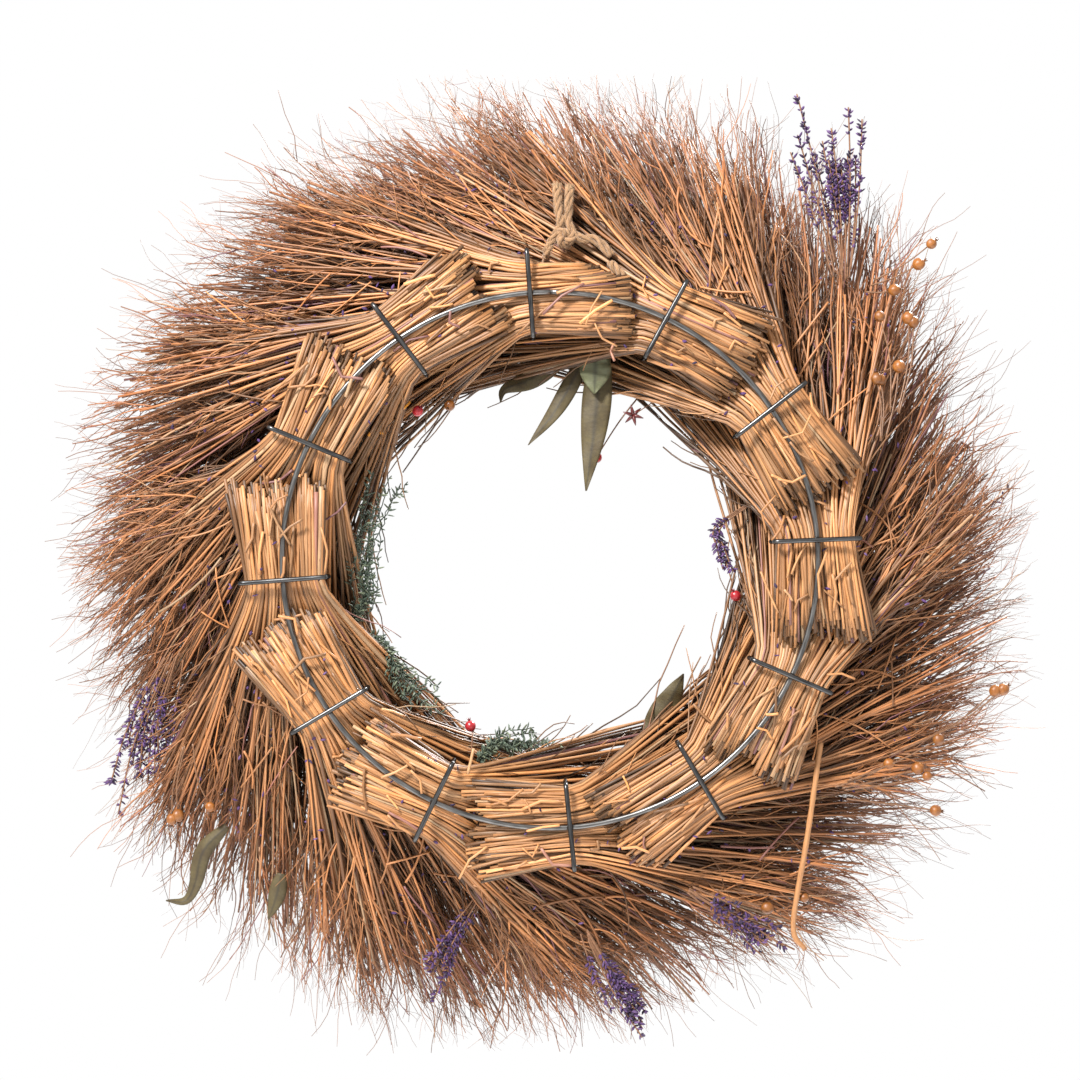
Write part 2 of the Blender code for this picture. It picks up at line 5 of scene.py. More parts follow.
import bmesh
import bpy
import numpy as np
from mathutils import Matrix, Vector


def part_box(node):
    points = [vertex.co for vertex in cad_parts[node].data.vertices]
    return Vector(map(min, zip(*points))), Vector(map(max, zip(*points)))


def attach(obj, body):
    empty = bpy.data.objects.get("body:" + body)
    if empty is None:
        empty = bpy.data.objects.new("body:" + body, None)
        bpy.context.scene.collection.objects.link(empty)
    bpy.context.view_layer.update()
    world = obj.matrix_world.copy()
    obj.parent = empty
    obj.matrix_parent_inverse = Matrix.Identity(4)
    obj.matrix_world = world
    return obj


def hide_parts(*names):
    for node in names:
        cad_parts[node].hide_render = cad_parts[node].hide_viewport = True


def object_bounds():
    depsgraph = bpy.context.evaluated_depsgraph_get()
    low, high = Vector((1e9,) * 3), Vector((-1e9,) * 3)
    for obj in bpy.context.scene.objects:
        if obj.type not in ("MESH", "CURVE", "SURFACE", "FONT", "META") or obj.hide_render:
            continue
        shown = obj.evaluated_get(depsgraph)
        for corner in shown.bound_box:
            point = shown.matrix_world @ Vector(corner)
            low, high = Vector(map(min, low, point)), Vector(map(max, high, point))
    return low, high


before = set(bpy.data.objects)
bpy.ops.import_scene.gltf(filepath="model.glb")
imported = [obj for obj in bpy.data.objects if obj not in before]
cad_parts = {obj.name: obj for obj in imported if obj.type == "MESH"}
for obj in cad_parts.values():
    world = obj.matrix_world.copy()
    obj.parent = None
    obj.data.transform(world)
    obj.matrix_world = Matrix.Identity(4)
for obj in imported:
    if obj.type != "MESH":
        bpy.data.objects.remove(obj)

CAD_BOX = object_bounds()

# The wire frame's sizes, in metres and degrees, as the CAD model has them.
RING_RADIUS = 0.1524
RING_WIRE_RADIUS = 0.0016
CLAMP_WIRE_RADIUS = 0.0014
CLAMP_COUNT = 12
CLAMP_HALF_WIDTH = 0.0245
CLAMP_BEND_RADIUS = 0.0028
PRONG_TIP_GAP = 0.006
FIRST_CLAMP_ANGLE = -4.3
CLAMP_TILTS = (0.0, 3.0, -3.5, 2.0, -2.5, 3.5, -1.5, 0.5, 3.5, 0.0, -3.0, -3.0)
STEP_ANGLE = 360.0 / CLAMP_COUNT
BAR_DEPTH = CLAMP_WIRE_RADIUS
RING_DEPTH = 0.0047
PRONG_DEPTH = 0.0294

# The straw's sizes, as the CAD model has them.
STRAW_BACK = 0.0067
STRAW_FRONT = 0.0277
BUNDLE_THICKNESS = 0.021
NECK_HALF_WIDTH = 0.0225
STRAIGHT_NECK = 0.0045
DEPTH_PER_STEP = 0.030
BUTT_LENGTH = 0.052
BUTT_GAP = 0.0063
THINNEST_BUTT = 0.002
TRIM_OFF_STRAW = 0.0070
BUNDLE_REACHES = (0.114, 0.102, 0.110, 0.122, 0.100, 0.112, 0.112, 0.098, 0.114, 0.124, 0.108, 0.116)

# The hanger's sizes, as the CAD model has them.
TWINE_RADIUS = 0.00225
KNOT_RADII = (0.007, 0.0055, 0.0070)
KNOT_RIGHT = 0.0085
KNOT_ABOVE_RING = 0.0324
SWING_ABOVE_RING = 0.0216
LEFT_LEG_RIGHT = -0.0023
RIGHT_LEG_RIGHT = 0.0353
LEG_TO_KNOT = KNOT_RADII[0] + 0.4 * TWINE_RADIUS

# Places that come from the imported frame.
RING_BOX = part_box("frame_ring")
CENTRE_X = 0.5 * (RING_BOX[0][0] + RING_BOX[1][0])
CENTRE_Z = 0.5 * (RING_BOX[0][2] + RING_BOX[1][2])
BACK_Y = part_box("clamp_01")[1][1]

UP = np.array([0.0, 1.0, 0.0])
FULL_TURN = 2.0 * np.pi


# ---------------------------------------------------------------- places on the wreath

def place(right, up, depth):
    """Point from its offsets right and up of the ring's centre, seen from behind, and its depth."""
    right, up, depth = np.broadcast_arrays(right, up, depth)
    return np.stack([CENTRE_X - right, BACK_Y - depth, CENTRE_Z + up], axis=-1)


def polar(clock, radius, depth):
    turn = np.radians(clock)
    return place(radius * np.sin(turn), radius * np.cos(turn), depth)


def clamp_turn(number, tilt=0.0):
    return math.radians(FIRST_CLAMP_ANGLE + STEP_ANGLE * (number - 1) + tilt)


def clamp_place(number, along, out, depth):
    """Point beside a clamp: along the tangent towards the tips, out along the radius."""
    turn = clamp_turn(number)
    right = (RING_RADIUS + out) * math.sin(turn) - along * math.cos(turn)
    up = (RING_RADIUS + out) * math.cos(turn) + along * math.sin(turn)
    return place(right, up, depth)


def spiral_depth(along, out):
    """Depth of a bundle's back: flat at its clamp, then spiralling forward round the ring."""
    run = np.maximum(along - STRAIGHT_NECK, 0.0)
    turn = np.degrees(np.arctan2(run, RING_RADIUS + out))
    return STRAW_BACK + DEPTH_PER_STEP * turn / STEP_ANGLE


def spiral_depth_at(number, right, up):
    turn = clamp_turn(number)
    along = up * math.sin(turn) - right * math.cos(turn)
    out = right * math.sin(turn) + up * math.cos(turn) - RING_RADIUS
    return float(spiral_depth(along, out))


def trim_route(bundle, *spots):
    """Points (clock, beyond the ring) of a sprig that lies on the back of a bundle's stems."""
    route = []
    for clock, beyond in spots:
        right = (RING_RADIUS + beyond) * math.sin(math.radians(clock))
        up = (RING_RADIUS + beyond) * math.cos(math.radians(clock))
        route.append(place(right, up, spiral_depth_at(bundle, right, up) - TRIM_OFF_STRAW))
    return route


def layer_route(*spots):
    """Points (clock, beyond the ring, layer) in front of the necks, a bundle's step deep per layer."""
    return [polar(clock, RING_RADIUS + beyond, STRAW_FRONT + layer * DEPTH_PER_STEP)
            for clock, beyond, layer in spots]


def hanger_place(right, above_ring, depth):
    return place(right, RING_RADIUS + above_ring, depth)


SWING_DEPTH = spiral_depth_at(2, RIGHT_LEG_RIGHT, RING_RADIUS + SWING_ABOVE_RING) - 0.5 * BUTT_GAP
KNOT_DEPTH = BACK_Y


# ---------------------------------------------------------------- routes and meshes

# How a hollow straw's cut end is drawn inwards: inset, share of the radius, share of the colour; the darker
# colour is painted shade inside the hollow.
HOLLOW_LIPS = np.array([[0.0009, 0.42, 0.16], [0.0, 0.60, 0.75]])


def unit(vectors):
    return vectors / np.maximum(np.linalg.norm(vectors, axis=-1, keepdims=True), 1e-9)


def walk(points):
    """Distance along a route at each of its points."""
    return np.concatenate([[0.0], np.cumsum(np.linalg.norm(np.diff(points, axis=0), axis=1))])


def smooth_route(points, spacing):
    """Evenly spaced points on a smooth curve through the route's own points."""
    points = [np.asarray(point, dtype=float) for point in points]
    ends = [2.0 * points[0] - points[1]] + points + [2.0 * points[-1] - points[-2]]
    fine = []
    for before, first, second, after in zip(ends, ends[1:], ends[2:], ends[3:]):
        for t in np.linspace(0.0, 1.0, 24, endpoint=False):
            pull = (second - before) * t + (2.0 * before - 5.0 * first + 4.0 * second - after) * t * t
            pull += (3.0 * first - before - 3.0 * second + after) * t ** 3
            fine.append(first + 0.5 * pull)
    fine = np.array(fine + [points[-1]])
    walked = walk(fine)
    marks = np.linspace(0.0, walked[-1], max(3, int(round(walked[-1] / spacing)) + 1))
    return np.stack([np.interp(marks, walked, fine[:, axis]) for axis in range(3)], axis=-1)


def route_frame(route):
    tangents = unit(np.gradient(route, axis=0))
    normals = unit(np.cross(tangents, UP))
    return tangents, normals, np.cross(tangents, normals)


def rays_round(normal, other, turns):
    """Directions at some turns round an axis, from two directions square to it."""
    return np.cos(turns)[:, None] * normal + np.sin(turns)[:, None] * other


class Builder:
    """Collects tubes and skins, with a colour and a grain coordinate at each vertex."""

    def __init__(self):
        self.points = []
        self.faces = []
        self.tints = []
        self.grains = []
        self.count = 0

    def skin(self, rings, tints, grains):
        """Closed skins through rings of points (strand, ring, corner, axis), capped at both ends."""
        strands, length, sides, _ = rings.shape
        first = np.arange(strands)[:, None] * length * sides
        start = (first + np.arange(length - 1) * sides)[..., None]
        side = np.arange(sides)
        following = (side + 1) % sides
        corners = (start + side, start + following, start + sides + following, start + sides + side)
        quads = np.stack(corners, axis=-1).reshape(-1, 4)
        for group in (quads, first + side[::-1], first + (length - 1) * sides + side):
            self.faces.append(group + self.count)
        self.points.append(rings.reshape(-1, 3))
        self.tints.append(np.broadcast_to(tints, rings.shape).reshape(-1, 3))
        self.grains.append(np.stack(np.broadcast_arrays(*grains), axis=-1).reshape(-1, 3))
        self.count += strands * length * sides

    def tubes(self, paths, radii, tints, sides, cut=False, seeds=None):
        """Tubes along paths (strand, point, axis), open and hollow at the start where they are cut, with
        painted shade inside the hollow.
        """
        paths = np.asarray(paths, dtype=float)
        strands, length, _ = paths.shape
        radii = np.broadcast_to(radii, (strands, length))
        tints = np.broadcast_to(tints, (strands, length, 3))
        tangents = unit(np.gradient(paths, axis=1))
        steep = np.abs(tangents.mean(axis=1, keepdims=True)[..., 1:2]) > 0.8
        normals = unit(np.cross(tangents, np.where(steep, np.array([1.0, 0.0, 0.0]), UP)))
        binormals = np.cross(tangents, normals)
        walked = np.zeros((strands, length))
        walked[:, 1:] = np.cumsum(np.linalg.norm(np.diff(paths, axis=1), axis=2), axis=1)
        if cut:
            inset, share, shade = HOLLOW_LIPS.T[:, None, :, None]
            paths = np.concatenate([paths[:, :1] + inset * tangents[:, :1], paths], axis=1)
            radii = np.concatenate([share[..., 0] * radii[:, :1], radii], axis=1)
            # The cut end's inner rings are darkened as painted shade inside the hollow.
            tints = np.concatenate([shade * tints[:, :1], tints], axis=1)
            length += len(HOLLOW_LIPS)
            normals, binormals, walked = (
                np.concatenate([rows[:, :1]] * len(HOLLOW_LIPS) + [rows], axis=1)
                for rows in (normals, binormals, walked))
        turns = FULL_TURN * np.arange(sides) / sides
        rings = rays_round(normals[:, :, None, :], binormals[:, :, None, :], turns)
        rings = paths[:, :, None, :] + radii[:, :, None, None] * rings
        seeds = np.arange(strands) * 0.37 if seeds is None else np.asarray(seeds)
        grains = (walked[:, :, None], np.cos(turns), seeds[:, None, None])
        self.skin(rings, tints[:, :, None, :], grains)

    def shell(self, rings, tints, seed):
        """One closed skin through rings of points (ring, corner, axis)."""
        rows = np.linspace(0.0, 1.0, rings.shape[0])[:, None]
        lanes = np.linspace(-1.0, 1.0, rings.shape[1])
        self.skin(rings[None], tints, (rows, lanes, seed))

    def finish(self, name, material, *nodes, body="wreath", slot=None):
        """One piece of everything collected, on its body, standing for its CAD solids.

        Its slot argument is not used.
        """
        points = np.concatenate(self.points).astype(np.float32)
        sizes = np.concatenate([np.full(len(group), group.shape[1]) for group in self.faces])
        corners = np.concatenate([group.reshape(-1) for group in self.faces]).astype(np.int32)
        starts = np.concatenate([[0], np.cumsum(sizes)[:-1]]).astype(np.int32)
        mesh = bpy.data.meshes.new(name)
        mesh.vertices.add(len(points))
        mesh.vertices.foreach_set("co", points.ravel())
        mesh.loops.add(len(corners))
        mesh.loops.foreach_set("vertex_index", corners)
        mesh.polygons.add(len(sizes))
        mesh.polygons.foreach_set("loop_start", starts)
        mesh.update(calc_edges=True)
        colours = np.concatenate([np.concatenate(self.tints), np.ones((len(points), 1))], axis=1)
        tint = mesh.attributes.new("tint", "FLOAT_COLOR", "POINT")
        tint.data.foreach_set("color", colours.astype(np.float32).ravel())
        grain = mesh.attributes.new("grain", "FLOAT_VECTOR", "POINT")
        grain.data.foreach_set("vector", np.concatenate(self.grains).astype(np.float32).ravel())
        mesh.shade_smooth()
        mesh.materials.append(material)
        piece = add_object(name, mesh)
        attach(piece, body)
        if nodes:
            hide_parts(*nodes)
        return piece


def add_object(name, data):
    thing = bpy.data.objects.new(name, data)
    bpy.context.scene.collection.objects.link(thing)
    return thing


# ---------------------------------------------------------------- materials

class Shader:
    """A node material built a node at a time."""

    def __init__(self, name, roughness, metallic=0.0):
        self.material = bpy.data.materials.new(name)
        self.material.use_nodes = True
        self.nodes = self.material.node_tree.nodes
        self.links = self.material.node_tree.links
        self.surface = self.nodes["Principled BSDF"].inputs
        self.surface["Roughness"].default_value = roughness
        self.surface["Metallic"].default_value = metallic

    def put(self, socket, value):
        """Links a socket to another node's output, or sets its plain value."""
        if isinstance(value, bpy.types.NodeSocket):
            self.links.new(value, socket)
        else:
            socket.default_value = value

    def node(self, kind, output, **inputs):
        made = self.nodes.new(kind)
        for key, value in inputs.items():
            self.put(made.inputs[key.replace("_", " ")], value)
        return made.outputs[output]

    def attribute(self, name, output):
        made = self.nodes.new("ShaderNodeAttribute")
        made.attribute_name = name
        return made.outputs[output]

    def noise(self, vector, scale, detail=4.0, roughness=0.55, stretch=None):
        if stretch:
            vector = self.node("ShaderNodeMapping", "Vector", Vector=vector, Scale=stretch)
        return self.node("ShaderNodeTexNoise", "Fac", Vector=vector, Scale=scale, Detail=detail,
                         Roughness=roughness)

    def ramp(self, factor, *stops):
        made = self.nodes.new("ShaderNodeValToRGB")
        elements = made.color_ramp.elements
        while len(elements) < len(stops):
            elements.new(0.5)
        for element, (position, colour) in zip(elements, stops):
            element.position = position
            element.color = (*colour, 1.0)
        self.put(made.inputs["Fac"], factor)
        return made.outputs["Color"]

    def multiply(self, factor, first, second):
        made = self.nodes.new("ShaderNodeMix")
        made.data_type = "RGBA"
        made.blend_type = "MULTIPLY"
        for index, value in ((0, factor), (6, first), (7, second)):
            self.put(made.inputs[index], value)
        return made.outputs[2]

    def colour(self, socket):
        self.put(self.surface["Base Color"], socket)

    def rough(self, value, low, high):
        spread = self.node("ShaderNodeMapRange", "Result", Value=value, To_Min=low, To_Max=high)
        self.put(self.surface["Roughness"], spread)

    def bump(self, height, strength, distance):
        normal = self.node("ShaderNodeBump", "Normal", Strength=strength, Distance=distance, Height=height)
        self.put(self.surface["Normal"], normal)


def straw_material():
    """Dry stems: each strand's own colour, with long streaks, dark nodes and small specks."""
    shader = Shader("dried_stems", 0.48)
    tint = shader.attribute("tint", "Color")
    grain = shader.attribute("grain", "Vector")
    streaks = shader.noise(grain, 2.2, stretch=(28.0, 1.6, 19.0))
    shade = shader.ramp(streaks, (0.30, (0.62, 0.55, 0.50)), (0.50, (1.0, 1.0, 1.0)),
                        (0.72, (1.25, 1.22, 1.12)))
    specks = shader.noise(grain, 1.0, detail=2.0, stretch=(420.0, 3.0, 31.0))
    marks = shader.ramp(specks, (0.27, (0.30, 0.20, 0.15)), (0.36, (1.0, 1.0, 1.0)))
    shader.colour(shader.multiply(0.75, shader.multiply(1.0, tint, shade), marks))
    shader.rough(streaks, 0.36, 0.62)
    shader.bump(streaks, 0.35, 0.0004)
    return shader.material


def wire_material(name, dark, light):
    """Drawn steel wire, with fine lines along it, dull patches and small scratches."""
    shader = Shader(name, 0.3, metallic=1.0)
    grain = shader.attribute("grain", "Vector")
    patches = shader.noise(grain, 1.4, detail=6.0, stretch=(60.0, 1.0, 3.0))
    shader.colour(shader.ramp(patches, (0.32, dark), (0.68, light)))
    lines = shader.noise(grain, 3.0, stretch=(25.0, 14.0, 9.0))
    shader.rough(lines, 0.20, 0.42)
    shader.bump(lines, 0.12, 0.0002)
    return shader.material


def jute_material():
    """Jute: tan fibres in many shades, matt, with fine ridges along each ply."""
    shader = Shader("jute_twine", 0.85)
    tint = shader.attribute("tint", "Color")
    grain = shader.attribute("grain", "Vector")
    fibres = shader.noise(grain, 1.0, detail=6.0, roughness=0.7, stretch=(260.0, 9.0, 17.0))
    shade = shader.ramp(fibres, (0.28, (0.45, 0.38, 0.32)), (0.52, (1.0, 1.0, 1.0)),
                        (0.75, (1.45, 1.40, 1.25)))
    shader.colour(shader.multiply(1.0, tint, shade))
    shader.surface["Sheen Weight"].default_value = 0.25
    shader.bump(fibres, 0.8, 0.0005)
    return shader.material


def trim_material(name, roughness, scale, dark, light):
    """Small dried petals, tiny leaves or fruit skins: the piece's own colour, finely mottled."""
    shader = Shader(name, roughness)
    tint = shader.attribute("tint", "Color")
    mottle = shader.noise(shader.node("ShaderNodeTexCoord", "Object"), scale, detail=5.0, roughness=0.65)
    shader.colour(shader.multiply(1.0, tint, shader.ramp(mottle, (0.32, dark), (0.68, light))))
    shader.rough(mottle, roughness - 0.12, min(roughness + 0.12, 1.0))
    shader.bump(mottle, 0.5, 0.0004)
    return shader.material


def leaf_material():
    """Dry long leaf: olive brown with pale side veins and brown blotches."""
    shader = Shader("dry_leaf", 0.68)
    tint = shader.attribute("tint", "Color")
    grain = shader.attribute("grain", "Vector")
    blotch = shader.noise(shader.node("ShaderNodeTexCoord", "Object"), 110.0, detail=6.0, roughness=0.6)
    tone = shader.ramp(blotch, (0.30, (0.72, 0.62, 0.50)), (0.50, (1.0, 1.0, 1.0)),
                       (0.72, (1.30, 1.35, 1.20)))
    veins = shader.noise(grain, 1.0, detail=2.0, stretch=(46.0, 5.0, 3.0))
    shade = shader.ramp(veins, (0.35, (0.7, 0.7, 0.7)), (0.6, (1.1, 1.1, 1.05)))
    shader.colour(shader.multiply(0.5, shader.multiply(1.0, tint, tone), shade))
    shader.bump(veins, 0.4, 0.0005)
    return shader.material


# ---------------------------------------------------------------- colours of the straw

GOLD = np.array([0.350, 0.165, 0.064])
TAN = np.array([0.305, 0.128, 0.047])
RUST = np.array([0.225, 0.084, 0.032])
MAUVE = np.array([0.15, 0.060, 0.090])
PALE = np.array([0.46, 0.33, 0.20])
ORANGE_DYE = np.array([0.66, 0.26, 0.02])


def mix_colours(first, second, share):
    return first + (second - first) * np.clip(share[..., None], 0.0, 1.0)


def straw_tints(rng, strands, mauve_share):
    """Colours of strands by point: gold at the cut end, tan past the ring, rust at the tips, with painted
    shade deep in the bundle.
    """
    count = len(strands.along)
    radius = np.hypot(strands.along, RING_RADIUS + strands.out)
    age = np.where(strands.along < 0.0, 0.0, 0.5 * (radius - RING_RADIUS) + 0.35 * strands.along)
    age = age + rng.normal(0.0, 0.009, (count, 1))
    tints = mix_colours(GOLD, TAN, (age - 0.005) / 0.055)
    tints = mix_colours(tints, RUST, (age - 0.070) / 0.045)
    tints = tints * rng.normal(1.0, 0.30, (count, 1, 1)).clip(0.35, 1.7)
    warm = rng.normal(0.0, 0.05, (count, 1))
    tints = tints * np.stack([1.0 + warm, 1.0 + 0.0 * warm, 1.0 - 1.6 * warm], axis=-1)
    # Painted shade: the middle layers of a bundle are darkened and the back and front layers lightened, less
    # so towards the outer tips.
    painted_shade = np.sin(np.pi * strands.level.clip(0.0, 1.0)) ** 0.6
    painted_shade = painted_shade * (1.0 - 0.45 * np.clip((radius - 0.195) / 0.045, 0.0, 1.0))
    tints = tints * (1.20 - 1.02 * painted_shade)[..., None]
    odd = rng.random(count)
    mauve = odd < mauve_share
    tints[mauve] = tints[mauve] * 0.4 + MAUVE * 0.6
    pale = (odd > 0.95) & (odd < 0.985)
    tints[pale] = tints[pale] * 0.55 + PALE * 0.45
    return tints.clip(0.0, 1.0)


# ---------------------------------------------------------------- straw bundles

STEMS_PER_BUNDLE = 300
STEM_LEVELS = np.array([0.02, 0.09, 0.17, 0.25, 0.35, 0.46, 0.58, 0.70, 0.83, 0.96])
STEM_RADIUS = 0.0009
INNER_SLOPE = -0.78
OUTER_SLOPES = (0.52, 0.42, 0.36, 0.36, 0.42, 0.50, 0.50, 0.50, 0.56, 0.60, 0.60, 0.56)
NECK_EASE = 0.009
LONGEST_RUN = 0.32
BUTT_MARKS = np.array([-1.0, -0.72, -0.45, -0.22])
STEM_MARKS = np.linspace(0.0, 1.0, 13) ** 1.35
FAN_RUNS = (0.0, 0.07, 0.20)
FAN_THICKNESSES = (BUNDLE_THICKNESS, 0.030, 0.023)
CUT_GAP = 0.0009
SOFT_FRONT = 0.066
SOFT_ROOM = 0.012
BOX_SLACK = np.array([0.0252, 0.0110, 0.0252])
PARTING_CLEARANCE = 0.0029
PETALS_PER_BUNDLE = 52

# Each kind of twig: its name and its parents, how many, where on them it starts, its lengths, the
# angles it leaves at, its points, its thickness, how far past the bundle it may go, and its sides.
TWIGS = (
    ("limbs", "stems", 560, (0.64, 1.0), (0.020, 0.058), (6.0, 26.0), 7, 0.00062, 0.0, 4),
    ("sprays", "limbs", 900, (0.25, 1.0), (0.010, 0.030), (12.0, 45.0), 5, 0.00046, 0.0, 3),
    ("hairs", "sprays", 800, (0.2, 1.0), (0.005, 0.015), (18.0, 60.0), 4, 0.00034, 0.012, 3),
    ("flyaways", "limbs", 240, (0.7, 1.0), (0.020, 0.055), (3.0, 30.0), 7, 0.00038, 0.024, 4),
    ("fringe", "inner", 130, (0.30, 0.75), (0.015, 0.045), (5.0, 35.0), 7, 0.00045, 0.0, 4),
    ("filler", "deep", 330, (0.42, 0.80), (0.030, 0.075), (4.0, 16.0), 7, 0.00072, 0.0, 4),
)

# Each kind of loose straw: how many, where it starts along and out, its headings and lengths, how
# far it curves and kinks, its lift and its radius. Three kinds lie by the clamps, two on the fan.
LOOSE_STRAWS = (
    (4, (-0.050, -0.014), (-0.022, 0.020), (-180.0, 180.0), (0.007, 0.026), 6.0, 40.0, -0.0011, 0.00075),
    (6, (-0.052, -0.020), (-0.024, 0.022), (-25.0, 25.0), (0.010, 0.030), 8.0, 12.0, -0.0009, 0.00085),
    (2, (0.008, 0.030), (-0.024, 0.022), (-180.0, 180.0), (0.008, 0.022), 6.0, 40.0, -0.0011, 0.00075),
    (4, (0.050, 0.110), (-0.010, 0.025), (5.0, 48.0), (0.020, 0.050), 25.0, 0.0, -0.0009, 0.0006),
    (4, (0.040, 0.120), (-0.010, 0.035), (-80.0, -25.0), (0.020, 0.050), 35.0, 0.0, -0.0009, 0.0006),
)
LOOSE_POINTS = 7
LIFT_OVER_RING = 0.0038


class Strands:
    """Paths in a bundle's own terms: along, out and depth below its spiral back, by point.

    The level of a strand says how deep it lies in its bundle, from 0 at the back to 1 at the front.
    """

    def __init__(self, along, out, lift, radius, level):
        self.along = along
        self.out = out
        self.lift = lift
        self.radius = radius
        self.level = level

    def world(self, number):
        depth = spiral_depth(self.along, self.out) + self.lift
        over = np.maximum(depth - SOFT_FRONT, 0.0)
        depth = np.minimum(depth, SOFT_FRONT) + SOFT_ROOM * (1.0 - np.exp(-over / SOFT_ROOM))
        return clamp_place(number, self.along, self.out, depth)

    def kept(self, keep):
        return Strands(self.along[keep], self.out[keep], self.lift[keep], self.radius[keep], self.level[keep])


def lay_strands(builder, rng, strands, number, sides, mauve_share, shade=1.0, cut=False):
    tints = straw_tints(rng, strands, mauve_share) * shade
    seeds = rng.random(len(strands.along)) * 40.0
    builder.tubes(strands.world(number), strands.radius, tints, sides, cut, seeds)


def inside_box(paths):
    """Which strands stay near enough to the CAD model's own box."""
    low = np.array(CAD_BOX[0]) - BOX_SLACK
    high = np.array(CAD_BOX[1]) + BOX_SLACK
    return np.all((paths > low) & (paths < high), axis=(1, 2))


def clear_of_hanger(paths):
    """Which strands stay out of the room that the hanger takes and swings in."""
    right = CENTRE_X - paths[..., 0]
    above = paths[..., 2] - CENTRE_Z - RING_RADIUS
    return ~np.any((right > -0.012) & (right < 0.046) & (above > 0.012), axis=1)


def butt_room(along, out, gap):
    """How thick a bundle's butts are where the next bundle's stems pass in front of them."""
    step = math.radians(STEP_ANGLE)
    next_along = along * math.cos(step) + (RING_RADIUS + out) * math.sin(step)
    next_out = (RING_RADIUS + out) * math.cos(step) - along * math.sin(step) - RING_RADIUS
    room = spiral_depth(next_along, next_out) - gap - STRAW_BACK
    return np.clip(room, THINNEST_BUTT, BUNDLE_THICKNESS)


def part_for_hanger(rng, along, out):
    """Presses the first bundle's straws below the line where the hanger swings."""
    turn = clamp_turn(1)
    right = (RING_RADIUS + out) * math.sin(turn) - along * math.cos(turn)
    line = RING_RADIUS + SWING_ABOVE_RING - TWINE_RADIUS - PARTING_CLEARANCE
    highest = (line - along * math.sin(turn)) / math.cos(turn) - RING_RADIUS
    near = np.clip((right - LEFT_LEG_RIGHT + 5.0 * TWINE_RADIUS) / (3.0 * TWINE_RADIUS), 0.0, 1.0)
    slack = np.abs(rng.normal(0.0, 0.0016, (len(out), 1)))
    return out - near * np.maximum(out - (highest - slack), 0.0)


def butt_lengths(rng, number, across):
    """How far each cut end stands past the clamp: ragged, and on a slant in the first bundle."""
    ragged = 0.07 * np.sin(across * 5.0 + number) + 0.05 * np.sin(across * 13.0 + 2.0 * number)
    butt = BUTT_LENGTH * (0.95 + ragged + rng.normal(0.0, 0.09, len(across)))
    if number == 1:
        slanted = BUTT_LENGTH + 0.007 - 0.034 * np.clip(across, 0.0, 1.0) ** 0.65
        butt = np.minimum(butt + 0.006, slanted - np.abs(rng.normal(0.0, 0.002, len(across))))
    return butt.clip(0.35 * BUTT_LENGTH, 1.16 * BUTT_LENGTH)


def stem_out(run, across, slope, bend):
    """How far out a stem is: its place in the neck, then its slope, which starts softly."""
    eased = np.sqrt(run * run + NECK_EASE * NECK_EASE) - NECK_EASE
    return across * NECK_HALF_WIDTH + slope * eased + bend * run * run


def run_to_radius(end_radius, *stem):
    """How far along each stem runs before it is as far from the centre as it reaches."""
    low = np.zeros(len(end_radius))
    high = np.full(len(end_radius), LONGEST_RUN)
    for _ in range(24):
        middle = 0.5 * (low + high)
        inside = np.hypot(middle, RING_RADIUS + stem_out(middle, *stem)) < end_radius
        low = np.where(inside, middle, low)
        high = np.where(inside, high, middle)
    return low


def grow_stems(rng, number):
    """The bundle's main stems, from their cut butts through the clamp to their tips."""
    count = STEMS_PER_BUNDLE
    layers = len(STEM_LEVELS)
    layer = np.arange(count) % layers
    level = STEM_LEVELS[layer] + rng.normal(0.0, 0.015 + 0.045 * np.minimum(layer / 3.0, 1.0))
    level = level.clip(0.0, 1.0)[:, None]
    rank = (np.arange(count) // layers) / (count / layers)
    across = (2.0 * ((rank + layer * 0.017 + rng.random(count) * 0.03) % 1.0) - 1.0) * 0.97
    share = 0.5 * (across + 1.0)
    slope = INNER_SLOPE + (OUTER_SLOPES[number - 1] - INNER_SLOPE) * share ** 0.80
    clump = np.sin(across * 9.0 + rng.uniform(0.0, 6.28)) * 0.05 + np.sin(across * 23.0 + layer * 1.9) * 0.035
    slope = slope + clump + rng.normal(0.0, 0.05, count)
    bend = rng.normal(0.0, 0.22, count)
    reach = RING_RADIUS + BUNDLE_REACHES[number - 1]
    end_radius = reach * (0.995 - 0.23 * rng.beta(1.2, 2.2, count)) + rng.normal(0.0, 0.004, count)
    butt = butt_lengths(rng, number, across)
    end = run_to_radius(end_radius, across, slope, bend)

    along = np.concatenate([butt[:, None] * BUTT_MARKS, end[:, None] * STEM_MARKS], axis=1)
    run = np.maximum(along, 0.0)
    wander = rng.normal(0.0, 0.0012, (count, 1)) * np.sin(run * 40.0 + rng.uniform(0.0, 6.28, (count, 1)))
    out = stem_out(run, across[:, None], slope[:, None], bend[:, None])
    out = out + wander * np.minimum(run / 0.05, 1.5)
    splay = across * 0.09 + rng.normal(0.0, 0.05, count)
    out = out - splay[:, None] * np.minimum(along, 0.0)
    if number == 1:
        out = part_for_hanger(rng, along, out)
    thickness = np.interp(run, FAN_RUNS, FAN_THICKNESSES)
    room = butt_room(along, out, BUTT_GAP if number == 1 else CUT_GAP)
    thickness = np.where(along < 0.0, room, thickness)
    crown = 1.0 - 0.55 * np.abs(across[:, None]) ** 4
    lift = np.maximum((level - 0.5) * crown * thickness + 0.5 * thickness, 0.0008)
    radius = rng.normal(STEM_RADIUS, 0.2 * STEM_RADIUS, count).clip(0.00055, 0.0014)
    taper = 1.0 - 0.45 * np.clip((run - 0.03) / 0.15, 0.0, 1.0)
    return Strands(along, out, lift, radius[:, None] * taper, level)


